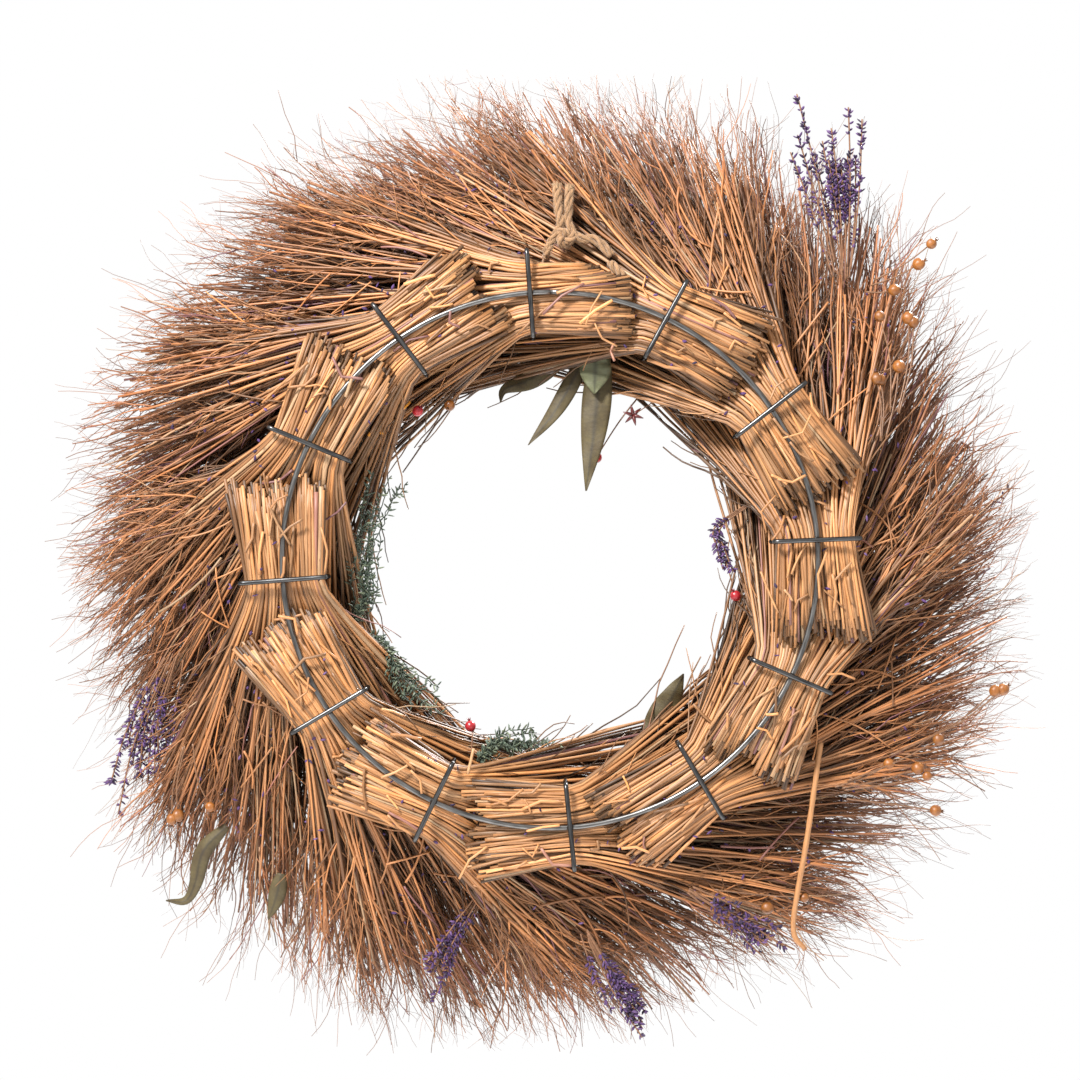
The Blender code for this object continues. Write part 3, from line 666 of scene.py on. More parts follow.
def branch_out(rng, parent, limit, count, spots, lengths, angles, points, thickness):
    """Branches that leave either side of their parents and bend back towards their line."""
    picks = rng.integers(0, len(parent.along), count)
    steps = parent.along.shape[1] - 1
    spot = rng.uniform(*spots, count) * steps
    index = np.minimum(spot.astype(int), steps - 1)
    part = spot - index

    def at(values):
        return values[picks, index] * (1.0 - part) + values[picks, index + 1] * part

    def rise(values):
        return values[picks, index + 1] - values[picks, index]

    heading = np.arctan2(rise(parent.out), rise(parent.along))
    turn = rng.choice((-1.0, 1.0), count) * np.radians(rng.uniform(*angles, count))
    length = rng.uniform(*lengths, count)
    room = limit + rng.normal(0.0, 0.004, count) - np.hypot(at(parent.along), RING_RADIUS + at(parent.out))
    length = np.minimum(length, np.maximum(room, 0.0))
    marks = np.linspace(0.0, 1.0, points)
    wobble = np.cumsum(rng.normal(0.0, 0.13, (count, points)), axis=1)
    angle = heading[:, None] + turn[:, None] * (1.0 - 0.75 * marks) + wobble
    step = (length / (points - 1))[:, None]
    along = at(parent.along)[:, None] + np.cumsum(np.cos(angle) * step, axis=1) - np.cos(angle[:, :1]) * step
    out = at(parent.out)[:, None] + np.cumsum(np.sin(angle) * step, axis=1) - np.sin(angle[:, :1]) * step
    drift = rng.normal(0.0, 0.16, count)
    lift = np.maximum(at(parent.lift)[:, None] + drift[:, None] * length[:, None] * marks, 0.0012)
    radius = np.minimum(at(parent.radius) * 0.72, thickness)[:, None] * (1.0 - 0.45 * marks)
    return Strands(along, out, lift, radius, parent.level[picks]).kept(length > 0.2 * lengths[0])


def build_bundle(number, material):
    """One bundle: stems with hollow cut butts, and the twigs that branch from them."""
    rng = np.random.default_rng(100 + number)
    stems = grow_stems(rng, number)
    straw = Builder()
    lay_strands(straw, rng, stems, number, 6, 0.022, cut=True)
    straw.finish(f"straw_{number:02d}", material, f"twig_bundle_{number:02d}")
    limit = 1.080 * (RING_RADIUS + BUNDLE_REACHES[number - 1])
    grown = {
        "stems": stems,
        "inner": stems.kept(stems.out[:, len(BUTT_MARKS)] < -0.008),
        "deep": stems.kept(np.abs(stems.level[:, 0] - 0.5) < 0.3),
    }
    for name, parents, *numbers, beyond, _ in TWIGS:
        grown[name] = branch_out(rng, grown[parents], limit + beyond, *numbers)
    twigs = Builder()
    for name, *_, sides in TWIGS:
        strands = grown[name].kept(inside_box(grown[name].world(number)))
        lay_strands(twigs, rng, strands, number, sides, 0.04)
    twigs.finish(f"twigs_{number:02d}", material)


def build_loose_straws(number, material):
    """Short broken straws on the butts, some over the ring, and stems that lie across the fan."""
    rng = np.random.default_rng(300 + number)
    loose = Builder()
    marks = np.linspace(0.0, 1.0, LOOSE_POINTS)
    for count, along, out, heading, length, curve, kink, lift, radius in LOOSE_STRAWS:
        first = rng.uniform(*heading, count)[:, None]
        turn = rng.normal(0.0, curve, (count, 1)) * marks
        turn = turn + (marks > 0.5) * rng.normal(0.0, kink, (count, 1))
        angle = np.radians(first + turn)
        step = rng.uniform(*length, (count, 1)) / (LOOSE_POINTS - 1)
        along = rng.uniform(*along, (count, 1)) + np.cumsum(np.cos(angle) * step, axis=1)
        out = rng.uniform(*out, (count, 1)) + np.cumsum(np.sin(angle) * step, axis=1)
        radii = np.full((count, LOOSE_POINTS), radius) * rng.uniform(0.7, 1.2, (count, 1))
        off_ring = np.hypot(along, RING_RADIUS + out) - RING_RADIUS
        crosses = (off_ring.min(axis=1) < 0.003) & (off_ring.max(axis=1) > -0.003)
        height = np.where(crosses, lift - LIFT_OVER_RING, lift)[:, None]
        height = height + rng.uniform(-0.0005, 0.0004, (count, LOOSE_POINTS)).cumsum(axis=1) * 0.4
        strands = Strands(along, out, height, radii, np.zeros((count, 1)))
        paths = strands.world(number)
        strands = strands.kept(clear_of_hanger(paths) & inside_box(paths))
        lay_strands(loose, rng, strands, number, 6, 0.12, shade=0.95, cut=True)
    loose.finish(f"loose_straw_{number:02d}", material)


# ---------------------------------------------------------------- wire frame

WIRE_TINT = (0.5, 0.5, 0.5)
WELD_TINT = (0.3, 0.3, 0.3)
WELD_HALF_LENGTH = 0.0026
WELD_RADII = np.array([0.0003, 0.0013, 0.0018, 0.0020, 0.0018, 0.0013, 0.0003])


def build_ring(material):
    wire = Builder()
    path = polar(np.linspace(0.0, 360.0, 241), RING_RADIUS, RING_DEPTH)
    wire.tubes(path[None], RING_WIRE_RADIUS, WIRE_TINT, 14)
    wire.finish("ring_wire", material, "frame_ring")


def clamp_path():
    """Out and depth of the clamp wire's centre from one prong tip to the other."""
    bend = CLAMP_BEND_RADIUS
    side = CLAMP_HALF_WIDTH - bend
    front = PRONG_DEPTH - bend
    back = BAR_DEPTH + bend
    corners = [(-PRONG_TIP_GAP, PRONG_DEPTH)]
    arcs = ((-side, front, 90.0), (-side, back, 180.0), (side, back, 270.0), (side, front, 360.0))
    for out, depth, start in arcs:
        for angle in np.radians(np.linspace(start, start + 90.0, 7)):
            corners.append((out + bend * math.cos(angle), depth + bend * math.sin(angle)))
    corners.append((PRONG_TIP_GAP, PRONG_DEPTH))
    dense = []
    for (out, depth), (next_out, next_depth) in zip(corners, corners[1:]):
        pieces = max(1, int(math.hypot(next_out - out, next_depth - depth) / 0.003))
        for part in range(pieces):
            share = part / pieces
            dense.append((out + (next_out - out) * share, depth + (next_depth - depth) * share))
    return np.array(dense + [corners[-1]])


def build_clamp(number, material):
    """One clamp with the spot weld that joins its back bar to the ring."""
    turn = clamp_turn(number, CLAMP_TILTS[number - 1])
    foot = clamp_place(number, 0.0, 0.0, 0.0)
    outward = np.array([-math.sin(turn), 0.0, math.cos(turn)])
    path = clamp_path()
    wire = Builder()
    wire.tubes((foot + path[:, :1] * outward - path[:, 1:] * UP)[None], CLAMP_WIRE_RADIUS, WIRE_TINT, 12,
               seeds=[number * 1.7])
    spots = np.linspace(-WELD_HALF_LENGTH, WELD_HALF_LENGTH, len(WELD_RADII))
    weld = foot + spots[:, None] * outward - (BAR_DEPTH + CLAMP_WIRE_RADIUS) * UP
    wire.tubes(weld[None], WELD_RADII, WELD_TINT, 10, seeds=[number * 2.3])
    wire.finish(f"clamp_wire_{number:02d}", material, f"clamp_{number:02d}")


# ---------------------------------------------------------------- jute hanger

JUTE_TINT = np.array([0.30, 0.165, 0.076])
FIBRE_TINT = np.array([0.40, 0.245, 0.125])
FUZZ_LENGTHS = (0.002, 0.0048)


def lay_plies(builder, rng, route, pitch, wide=(1.0, 1.0), deep=1.0):
    """Three twisted plies along a route, wider and shallower where the twine is untwisted."""
    _, normals, binormals = route_frame(route)
    walked = walk(route)
    wide = np.interp(walked / walked[-1], np.linspace(0.0, 1.0, len(wide)), wide)
    ends = np.minimum(walked, walked[-1] - walked).clip(0.0, 0.001) / 0.001
    for ply in range(3):
        turn = FULL_TURN * (walked / pitch + ply / 3.0)
        across = 0.50 * TWINE_RADIUS * wide * np.cos(turn)
        inward = 0.50 * TWINE_RADIUS * deep * np.sin(turn)
        path = route + across[:, None] * normals + inward[:, None] * binormals
        swell = 1.0 + 0.07 * np.sin(walked * 900.0 + ply * 2.0) + rng.normal(0.0, 0.02, len(route))
        radii = 0.55 * TWINE_RADIUS * swell * (0.55 + 0.45 * ends)
        shade = JUTE_TINT * rng.uniform(0.88, 1.12)
        builder.tubes(path[None], radii[None], shade, 10, seeds=[rng.random() * 30.0])


def fibre_tints(rng, count):
    return FIBRE_TINT * rng.normal(1.0, 0.2, (count, 1, 1)).clip(0.5, 1.5)


def add_fuzz(builder, rng, route, per_metre, lean=0.0010, lengths=FUZZ_LENGTHS):
    """Loose fibres that stand off the twine."""
    tangents, normals, binormals = route_frame(route)
    count = int(per_metre * walk(route)[-1])
    spot = rng.integers(1, len(route) - 1, count)
    turn = rng.uniform(0.0, FULL_TURN, count)
    outward = rays_round(normals[spot], binormals[spot], turn)
    side = np.cross(tangents[spot], outward)
    length = rng.uniform(*lengths, count)[:, None]
    margin = int(lengths[1] / np.linalg.norm(route[1] - route[0]))
    sense = rng.choice((-1.0, 1.0), count)
    sense = np.where(spot < margin, 1.0, np.where(spot > len(route) - margin, -1.0, sense))
    way = sense[:, None] * tangents[spot]
    sway = rng.uniform(-0.35, 0.35, count)[:, None]
    start = route[spot] + 0.80 * TWINE_RADIUS * outward
    paths = [start]
    for share, lift in ((0.33, 0.55), (0.66, 0.95), (1.0, 1.1)):
        paths.append(start + length * (share * way + share * sway * side) + lift * lean * outward)
    builder.tubes(np.stack(paths, axis=1), (0.00008, 0.00007, 0.00006, 0.00004), fibre_tints(rng, count), 3)


def fray_end(builder, rng, route, count, spread, length):
    """The opened end of a twine: separate fibres that fan out past it."""
    tangents, normals, binormals = route_frame(route)
    turn = rng.uniform(0.0, FULL_TURN, count)
    reach = np.sqrt(rng.random(count))[:, None]
    outward = rays_round(normals[-1], binormals[-1], turn)
    start = route[-4] + 0.8 * TWINE_RADIUS * reach * outward
    span = length * rng.uniform(0.45, 1.0, count)[:, None]
    paths = [start]
    for share in (0.4, 0.75, 1.0):
        paths.append(start + share * span * tangents[-1] + spread * reach * share * share * outward
                     + rng.normal(0.0, 0.00025, (count, 3)))
    builder.tubes(np.stack(paths, axis=1), (0.00026, 0.00024, 0.00018, 0.00008), fibre_tints(rng, count), 5)


def leg_routes():
    """The hanger's routes, from where each leg leaves the straw, through the knot, to its tail."""
    knot = KNOT_ABOVE_RING
    left = (
        (LEFT_LEG_RIGHT, SWING_ABOVE_RING, SWING_DEPTH),
        (LEFT_LEG_RIGHT + 0.0012, SWING_ABOVE_RING + 0.0042, SWING_DEPTH - 0.0002),
        (KNOT_RIGHT - LEG_TO_KNOT, knot - 0.0026, KNOT_DEPTH - 0.0010),
        (KNOT_RIGHT - 0.0026, knot + 0.0075, KNOT_DEPTH + 0.0005),
        (KNOT_RIGHT - 0.0036, knot + 0.0170, KNOT_DEPTH + 0.0030),
        (KNOT_RIGHT - 0.0044, knot + 0.0305, KNOT_DEPTH + 0.0060),
    )
    right = (
        (RIGHT_LEG_RIGHT, SWING_ABOVE_RING, SWING_DEPTH),
        (RIGHT_LEG_RIGHT - 0.0030, SWING_ABOVE_RING + 0.0038, SWING_DEPTH + 0.0006),
        (RIGHT_LEG_RIGHT - 0.0095, knot - 0.0014, SWING_DEPTH + 0.0020),
        (KNOT_RIGHT + LEG_TO_KNOT, knot + 0.0002, KNOT_DEPTH - 0.0003),
        (KNOT_RIGHT + 0.0024, knot + 0.0076, KNOT_DEPTH + 0.0005),
        (KNOT_RIGHT + 0.0020, knot + 0.0165, KNOT_DEPTH + 0.0030),
        (KNOT_RIGHT + 0.0030, knot + 0.0290, KNOT_DEPTH + 0.0060),
    )
    return [[hanger_place(*spot) for spot in route] for route in (left, right)]


def build_knot(material):
    """The overhand knot, a trefoil of twine pulled tight."""
    rng = np.random.default_rng(7)
    turn = np.linspace(0.0, FULL_TURN, 150)
    reach = (KNOT_RADII[0] - TWINE_RADIUS) / 3.0
    out = reach * (2.0 + np.cos(3.0 * turn))
    deep = 0.62 * (KNOT_RADII[1] - 0.5 * TWINE_RADIUS)
    route = hanger_place(KNOT_RIGHT, KNOT_ABOVE_RING, KNOT_DEPTH) + np.stack(
        [out * np.cos(2.0 * turn + 0.5), deep * np.sin(3.0 * turn), out * np.sin(2.0 * turn + 0.5)], axis=-1)
    knot = Builder()
    lay_plies(knot, rng, route, 0.012)
    add_fuzz(knot, rng, route, 4500, 0.0009, (0.002, 0.005))
    return knot.finish("jute_knot", material, "hanger_knot", body="hanger")


def build_hanger(material):
    """The two twines of the hanger, each from the straw through the knot to its frayed tail."""
    knot = build_knot(material)
    left, right = leg_routes()
    twines = (
        ("left", left, 0.019, (1.0, 1.0, 1.15, 1.4), 1.0, [knot]),
        ("right", right, 0.024, (1.5, 1.6, 1.4, 1.1, 1.2, 1.45), 0.75, []),
    )
    for side, points, pitch, wide, deep, carried in twines:
        rng = np.random.default_rng(len(points))
        route = smooth_route(points, 0.0007)
        twine = Builder()
        lay_plies(twine, rng, route, pitch, wide, deep)
        add_fuzz(twine, rng, route, 7500)
        fray_end(twine, rng, route, 90, 0.0014, 0.0046)
        piece = twine.finish(f"jute_{side}", material, f"hanger_leg_{side}", f"hanger_tail_{side}",
                             body="hanger")


def build_bight(material):
    """The hidden run of twine that the first two bundles grip."""
    below = TWINE_RADIUS + 0.0006

    def gap_depth(right, above_ring):
        return spiral_depth_at(2, right, RING_RADIUS + above_ring) - 0.5 * BUTT_GAP

    gripped = (
        (RIGHT_LEG_RIGHT + 0.0006, SWING_ABOVE_RING - below - 0.0026),
        (0.0415, 0.0090),
        (0.0400, 0.0010),
        (0.0280, -0.0060),
        (0.0100, -0.0060),
        (0.0000, -0.0010),
        (LEFT_LEG_RIGHT, 0.0076),
    )
    far_depth = gap_depth(LEFT_LEG_RIGHT, SWING_ABOVE_RING)
    rising = (
        (SWING_ABOVE_RING - 0.0040, far_depth),
        (SWING_ABOVE_RING - 0.0004, far_depth - 0.0016),
        (SWING_ABOVE_RING + 0.0003, SWING_DEPTH + 0.0075),
        (SWING_ABOVE_RING, SWING_DEPTH + 0.0052),
        (SWING_ABOVE_RING, SWING_DEPTH + below),
    )
    points = [hanger_place(RIGHT_LEG_RIGHT, SWING_ABOVE_RING - below, SWING_DEPTH)]
    points += [hanger_place(*spot, gap_depth(*spot)) for spot in gripped]
    points += [hanger_place(LEFT_LEG_RIGHT, *spot) for spot in rising]
    route = smooth_route(points, 0.0009)
    rng = np.random.default_rng(5)
    bight = Builder()
    lay_plies(bight, rng, route, 0.018, (1.5, 1.3, 1.0, 1.0, 1.0, 1.0), 0.8)
    add_fuzz(bight, rng, route[:40], 4200)
    bight.finish("jute_bight", material, "hanger_tie")


# ---------------------------------------------------------------- trim

POD_RADIUS = 0.0038
BERRY_RADIUS = 0.0033
LEAF_HALF_THICKNESS = 0.0003
BUDS_PER_SPIKE = 46
FRONT_DEPTH = 0.0775
FRONT_BUNCHES = 24

FLOWER_TINTS = np.array([[0.038, 0.015, 0.062], [0.060, 0.024, 0.095],
                         [0.024, 0.012, 0.036], [0.095, 0.050, 0.130]])
GREEN_TINTS = np.array([[0.070, 0.092, 0.060], [0.044, 0.066, 0.045], [0.12, 0.14, 0.085]])
POD_TINT = np.array([0.23, 0.080, 0.014])
RED_TINT = np.array([0.34, 0.014, 0.020])
CALYX_TINT = np.array([0.080, 0.014, 0.013])
STEM_TINT = np.array([0.17, 0.080, 0.036])
LEAF_TINT = np.array([0.062, 0.044, 0.015])
PALE_LEAF_TINT = np.array([0.090, 0.092, 0.045])


def hang_fruit(builder, rng, route, radius, tint, lobes, dent):
    """A round lobed fruit at the end of a thin stem, with a small dry crown at its far side."""
    path = smooth_route(route, 0.003)
    centre = path[-1]
    builder.tubes(path[None, :-1], np.linspace(0.00055, 0.00040, len(path) - 1), STEM_TINT, 5)
    shade = tint * rng.uniform(0.78, 1.2)
    axis = unit(centre - path[-3])
    side = unit(np.cross(axis, (0.3, 0.9, 0.2)))
    other = np.cross(axis, side)
    turns = FULL_TURN * np.arange(16) / 16
    ripple = 1.0 - dent * (0.5 + 0.5 * np.cos(lobes * turns + rng.uniform(0.0, 6.28)))
    rings = []
    for angle in np.linspace(-0.5 * np.pi + 0.08, 0.5 * np.pi - 0.08, 11):
        girth = math.cos(angle)
        spread = radius * girth * (1.0 + (ripple - 1.0) * min(1.0, 3.0 * girth))
        middle = centre + radius * math.sin(angle) * axis
        rings.append(middle + spread[:, None] * rays_round(side, other, turns))
    builder.shell(np.array(rings), shade, rng.random() * 20.0)
    outward = rays_round(side, other, np.linspace(0.0, FULL_TURN, 5, endpoint=False) + rng.random())
    tip = centre + radius * 0.96 * axis
    paths = np.stack([np.broadcast_to(tip, outward.shape), tip + 0.0007 * axis + 0.0006 * outward,
                      tip + 0.0018 * axis + 0.0011 * outward], axis=1)
    builder.tubes(paths, (0.00045, 0.00035, 0.0001), 0.45 * shade, 4)


def add_buds(builder, rng, route, count, start, lengths, radius, lean, tints):
    """Buds or tiny leaves round a sprig from a share of its route to its end."""
    spot = start + (1.0 - start) * rng.random(count)
    index = np.clip((spot * (len(route) - 1)).astype(int), 1, len(route) - 1)
    tangents, normals, binormals = route_frame(route)
    outward = rays_round(normals[index], binormals[index], rng.uniform(0.0, FULL_TURN, count))
    direction = unit(tangents[index] + lean * outward + rng.normal(0.0, 0.25, (count, 3)))
    length = rng.uniform(*lengths, count)[:, None]
    root = route[index] + 0.0004 * outward
    bow = 0.12 * length * outward
    paths = np.stack([root, root + 0.30 * length * direction, root + 0.7 * length * direction + bow,
                      root + length * direction + 1.6 * bow], axis=1)
    girth = radius * rng.uniform(0.7, 1.2, count)[:, None] * np.array([0.35, 0.95, 0.85, 0.15])
    shades = tints[rng.integers(0, len(tints), count)][:, None, :] * rng.uniform(0.7, 1.3, (count, 1, 1))
    builder.tubes(paths, girth, shades, 5)


def lean_route(rng, route, sideways, lift):
    """A neighbour of a route, leaning off it further and further along."""
    shift = rng.normal(0.0, sideways, 3)
    shift[1] = lift * abs(rng.normal())
    share = np.linspace(0.25, 1.0, len(route))[:, None]
    return [np.asarray(point) + part * shift for point, part in zip(route, share)]


def flower_cluster(rng, name, route, spikes, sideways, material, *nodes, lift=0.002):
    """A bunch of flower spikes on thin stems round one route."""
    cluster = Builder()
    for spike in range(spikes):
        path = smooth_route(route if spike == 0 else lean_route(rng, route, sideways, lift), 0.002)
        cluster.tubes(path[None], 0.0005, STEM_TINT, 5)
        start = rng.uniform(0.2, 0.6)
        add_buds(cluster, rng, path, BUDS_PER_SPIKE, start, (0.0020, 0.0038), 0.00075, 1.2, FLOWER_TINTS)
    cluster.finish(name, material, *nodes)


def bristle_sprig(rng, name, route, branches, lift, material, *nodes):
    """A grey-green sprig: thin branches round one route, thick with tiny leaves."""
    sprig = Builder()
    for branch in range(branches):
        path = smooth_route(route if branch == 0 else lean_route(rng, route, 0.0055, lift), 0.002)
        path = path[:max(6, int(len(path) * rng.uniform(0.5, 1.0)))]
        path = path + np.cumsum(rng.normal(0.0, 0.0005, path.shape), axis=0)
        sprig.tubes(path[None], 0.00030, 0.6 * GREEN_TINTS[0], 4)
        add_buds(sprig, rng, path, 48, 0.05, (0.0016, 0.0044), 0.00055, 1.6, GREEN_TINTS)
    sprig.finish(name, material, *nodes)


def add_leaf(builder, route, half_width, tint, cup, curl, seed):
    """A thin cupped blade along a route, widest before its middle, with a raised dark midrib."""
    path = smooth_route(route, 0.0016)
    _, across, face = route_frame(path)
    shares = np.linspace(0.0, 1.0, len(path))
    widths = half_width * np.maximum(np.sin(np.pi * (0.10 + 0.88 * shares) ** 0.85), 0.04)
    lanes = np.linspace(-1.0, 1.0, 9)
    wave = 0.10 * half_width * np.sin(shares * 21.0)
    thick = LEAF_HALF_THICKNESS + 0.00035 * np.exp(-(lanes / 0.12) ** 2)
    rings = []
    for row, (point, width) in enumerate(zip(path, widths)):
        height = cup * width * lanes ** 2 + curl * width * lanes * shares[row] + wave[row] * lanes
        upper = point + np.outer(width * lanes, across[row]) + np.outer(height + thick, face[row])
        lower = point + np.outer(width * lanes, across[row]) + np.outer(height - thick, face[row])
        rings.append(np.concatenate([upper, lower[::-1]]))
    shade = 1.0 - 0.55 * np.exp(-(np.concatenate([lanes, lanes[::-1]]) / 0.16) ** 2)
    builder.shell(np.array(rings), tint * shade[:, None], seed)


def build_petals(number, material):
    """Single purple petals and buds caught among a bundle's stems."""
    rng = np.random.default_rng(400 + number)
    count = PETALS_PER_BUNDLE
    along = rng.uniform(-0.03, 0.17, count)
    out = rng.uniform(-0.025, 0.03, count) + 0.45 * rng.uniform(-0.3, 1.0, count) * np.maximum(along, 0.0)
    lift = rng.uniform(-0.0012, 0.004, count)
    roots = clamp_place(number, along, out, spiral_depth(along, out) + lift)
    direction = unit(rng.normal(0.0, 1.0, (count, 3)) * (1.0, 0.4, 1.0))
    length = rng.uniform(0.0018, 0.0040, count)[:, None]
    paths = np.stack([roots + share * length * direction for share in (0.0, 0.35, 0.7, 1.0)], axis=1)
    in_straw = np.hypot(along, RING_RADIUS + out) < RING_RADIUS + 0.72 * BUNDLE_REACHES[number - 1]
    keep = clear_of_hanger(paths) & inside_box(paths) & in_straw
    girth = rng.uniform(0.0004, 0.0010, (count, 1)) * np.array([0.3, 1.0, 0.8, 0.2])
    shades = FLOWER_TINTS[rng.integers(0, len(FLOWER_TINTS), count)][:, None, :] * 1.1
    petals = Builder()
    petals.tubes(paths[keep], girth[keep], shades[keep], 5)
    petals.finish(f"petals_{number:02d}", material)


def build_flowers(material):
    """Purple flower spikes: the CAD model's six, each as a bunch."""
    rng = np.random.default_rng(31)
    bunches = (
        (16, 0.013, trim_route(4, (46.0, 0.084), (40.0, 0.110), (34.5, 0.138))),
        (11, 0.014, trim_route(11, (256.0, 0.073), (249.0, 0.098), (243.0, 0.116))),
        (6, 0.007, trim_route(9, (191.5, 0.045), (194.0, 0.071), (196.0, 0.098))),
        (10, 0.011, trim_route(8, (174.0, 0.065), (171.0, 0.092), (168.0, 0.116))),
        (6, 0.009, trim_route(7, (157.0, 0.052), (153.0, 0.074), (150.0, 0.098))),
        (3, 0.003, layer_route((74.0, -0.0300, 0.43), (79.0, -0.0530, 0.36), (86.0, -0.0530, 0.28),
                               (93.0, -0.0490, 0.21))),
    )
    for count, (spikes, sideways, route) in enumerate(bunches, start=1):
        flower_cluster(rng, f"flowers_{count:02d}", route, spikes, sideways, material,
                       f"lavender_spike_{count:02d}")


def build_pods(material):
    """Orange-brown seed pods on thin stems round the outer edge, each with a few neighbours."""
    rng = np.random.default_rng(41)
    pods = (
        (2, trim_route(4, (49.5, 0.092), (50.8, 0.107), (51.3, 0.121))),
        (2, trim_route(4, (67.0, 0.064), (61.0, 0.083), (56.0, 0.097))),
        (2, trim_route(4, (70.0, 0.052), (65.0, 0.066), (61.0, 0.077))),
        (1, trim_route(6, (120.0, 0.073), (112.0, 0.100), (106.4, 0.117))),
        (4, trim_route(6, (128.0, 0.060), (123.0, 0.078), (119.5, 0.091))),
        (1, trim_route(7, (155.0, 0.058), (151.0, 0.072), (148.0, 0.084))),
        (2, trim_route(10, (243.0, 0.083), (239.0, 0.098), (235.5, 0.108))),
    )
    for count, (neighbours, route) in enumerate(pods, start=1):
        bunch = Builder()
        hang_fruit(bunch, rng, route, POD_RADIUS, POD_TINT, 5, 0.10)
        for _ in range(neighbours):
            size = POD_RADIUS * rng.uniform(0.72, 0.98)
            hang_fruit(bunch, rng, lean_route(rng, route, 0.013, 0.0015), size, POD_TINT, 5, 0.10)
        bunch.finish(f"pods_{count:02d}", material, f"flax_pod_{count:02d}")


def build_berries(material):
    """Berries on thin stems that reach into the centre, all red but one."""
    rng = np.random.default_rng(51)
    brown = 0.8 * POD_TINT
    berries = (
        (RED_TINT, layer_route((311.0, -0.0280, 0.51), (314.5, -0.0370, 0.34), (318.4, -0.0375, 0.08))),
        (brown, layer_route((333.0, -0.0290, 0.78), (330.0, -0.0420, 0.51), (327.0, -0.0460, 0.18))),
        (RED_TINT, layer_route((30.0, -0.0290, 0.88), (27.0, -0.0600, 0.68), (24.5, -0.0870, 0.58))),
        (RED_TINT, layer_route((202.0, -0.0310, 0.23), (204.0, -0.0420, 0.31), (205.5, -0.0455, 0.34))),
        (RED_TINT, layer_route((106.0, -0.0280, 0.36), (103.5, -0.0390, 0.28), (101.0, -0.0430, 0.18))),
    )
    for count, (tint, route) in enumerate(berries, start=1):
        bunch = Builder()
        hang_fruit(bunch, rng, route, BERRY_RADIUS, tint, 7, 0.06)
        bunch.finish(f"berries_{count:02d}", material, f"berry_{count:02d}")


def build_leaves(material):
    """Long dry leaves: three under the top, one low inside, two outside low, one on the front."""
    leaves = (
        (0.0066, 0.25, 0.5, layer_route((5.6, -0.0294, 0.78), (-6.0, -0.0464, 0.64),
                                        (-14.8, -0.0500, 0.54), (-17.4, -0.0566, 0.47))),
        (0.0052, 0.30, 0.6, layer_route((10.6, -0.0279, 0.59), (3.2, -0.0629, 0.48), (-10.7, -0.0848, 0.38))),
        (0.0086, 0.20, 0.3, layer_route((13.5, -0.0235, 0.46), (18.3, -0.0698, 0.34), (27.8, -0.1074, 0.24))),
        (0.0084, 0.30, 0.2, layer_route((152.0, -0.0310, 0.88), (141.0, -0.0430, 0.74),
                                        (130.5, -0.0500, 0.61))),
        (0.0050, 0.60, 1.0, trim_route(10, (230.5, 0.0900), (229.9, 0.1100), (227.6, 0.1260),
                                       (226.9, 0.1370), (228.4, 0.1450))),
        (0.0052, 0.40, 0.5, trim_route(10, (220.5, 0.0880), (219.0, 0.1010), (218.0, 0.1140))),
        (0.0084, 0.25, 0.3, layer_route((20.0, -0.0060, 1.21), (8.0, -0.0020, 1.28), (-6.0, 0.0000, 1.19))),
    )
    for count, (half_width, cup, curl, route) in enumerate(leaves, start=1):
        blade = Builder()
        add_leaf(blade, route, half_width, LEAF_TINT, cup, curl, count * 3.1)
        blade.finish(f"long_leaf_{count:02d}", material, f"leaf_{count:02d}")


def build_greens(material):
    """Grey-green sprigs of tiny leaves along the inner edge, low and to one side."""
    rng = np.random.default_rng(61)
    sprigs = (
        layer_route((252.0, -0.0290, 0.54), (258.0, -0.0420, 0.48), (271.0, -0.0430, 0.44),
                    (286.0, -0.0430, 0.44), (300.0, -0.0430, 0.41)),
        layer_route((248.0, -0.0290, 0.66), (243.0, -0.0420, 0.51), (229.0, -0.0430, 0.44),
                    (214.0, -0.0430, 0.41)),
        layer_route((199.5, -0.0290, 0.29), (196.0, -0.0410, 0.34), (188.0, -0.0430, 0.41),
                    (177.0, -0.0430, 0.38)),
    )
    for count, route in enumerate(sprigs, start=1):
        bristle_sprig(rng, f"greens_{count:02d}", route, 13, 0.004, material, f"green_sprig_{count:02d}")


def build_stalk(material):
    """One thick bent stalk that crosses the stems behind two bundles."""
    route = smooth_route(layer_route((124.0, 0.0350, -0.26), (137.0, 0.0640, -0.32),
                                     (146.3, 0.1000, -0.10), (146.8, 0.1160, -0.04)), 0.002)
    rng = np.random.default_rng(71)
    swell = 1.0 + 0.05 * np.sin(np.arange(len(route)) * 0.9) + rng.normal(0.0, 0.02, len(route))
    stalk = Builder()
    stalk.tubes(route[None], 0.0016 * swell[None], 1.05 * GOLD, 10, cut=True)
    stalk.finish("thick_stalk", material, "cross_stalk", slot="thick_stalk")


def build_folded_leaf(material):
    """A pale, slightly cupped leaf lying towards the back, under the top."""
    route = layer_route((12.5, -0.0300, 0.16), (13.5, -0.0400, 0.18), (15.0, -0.0530, 0.20))
    fold = Builder()
    add_leaf(fold, route, 0.0092, PALE_LEAF_TINT, 0.12, 0.1, 8.0)
    fold.finish("folded_leaf", material)


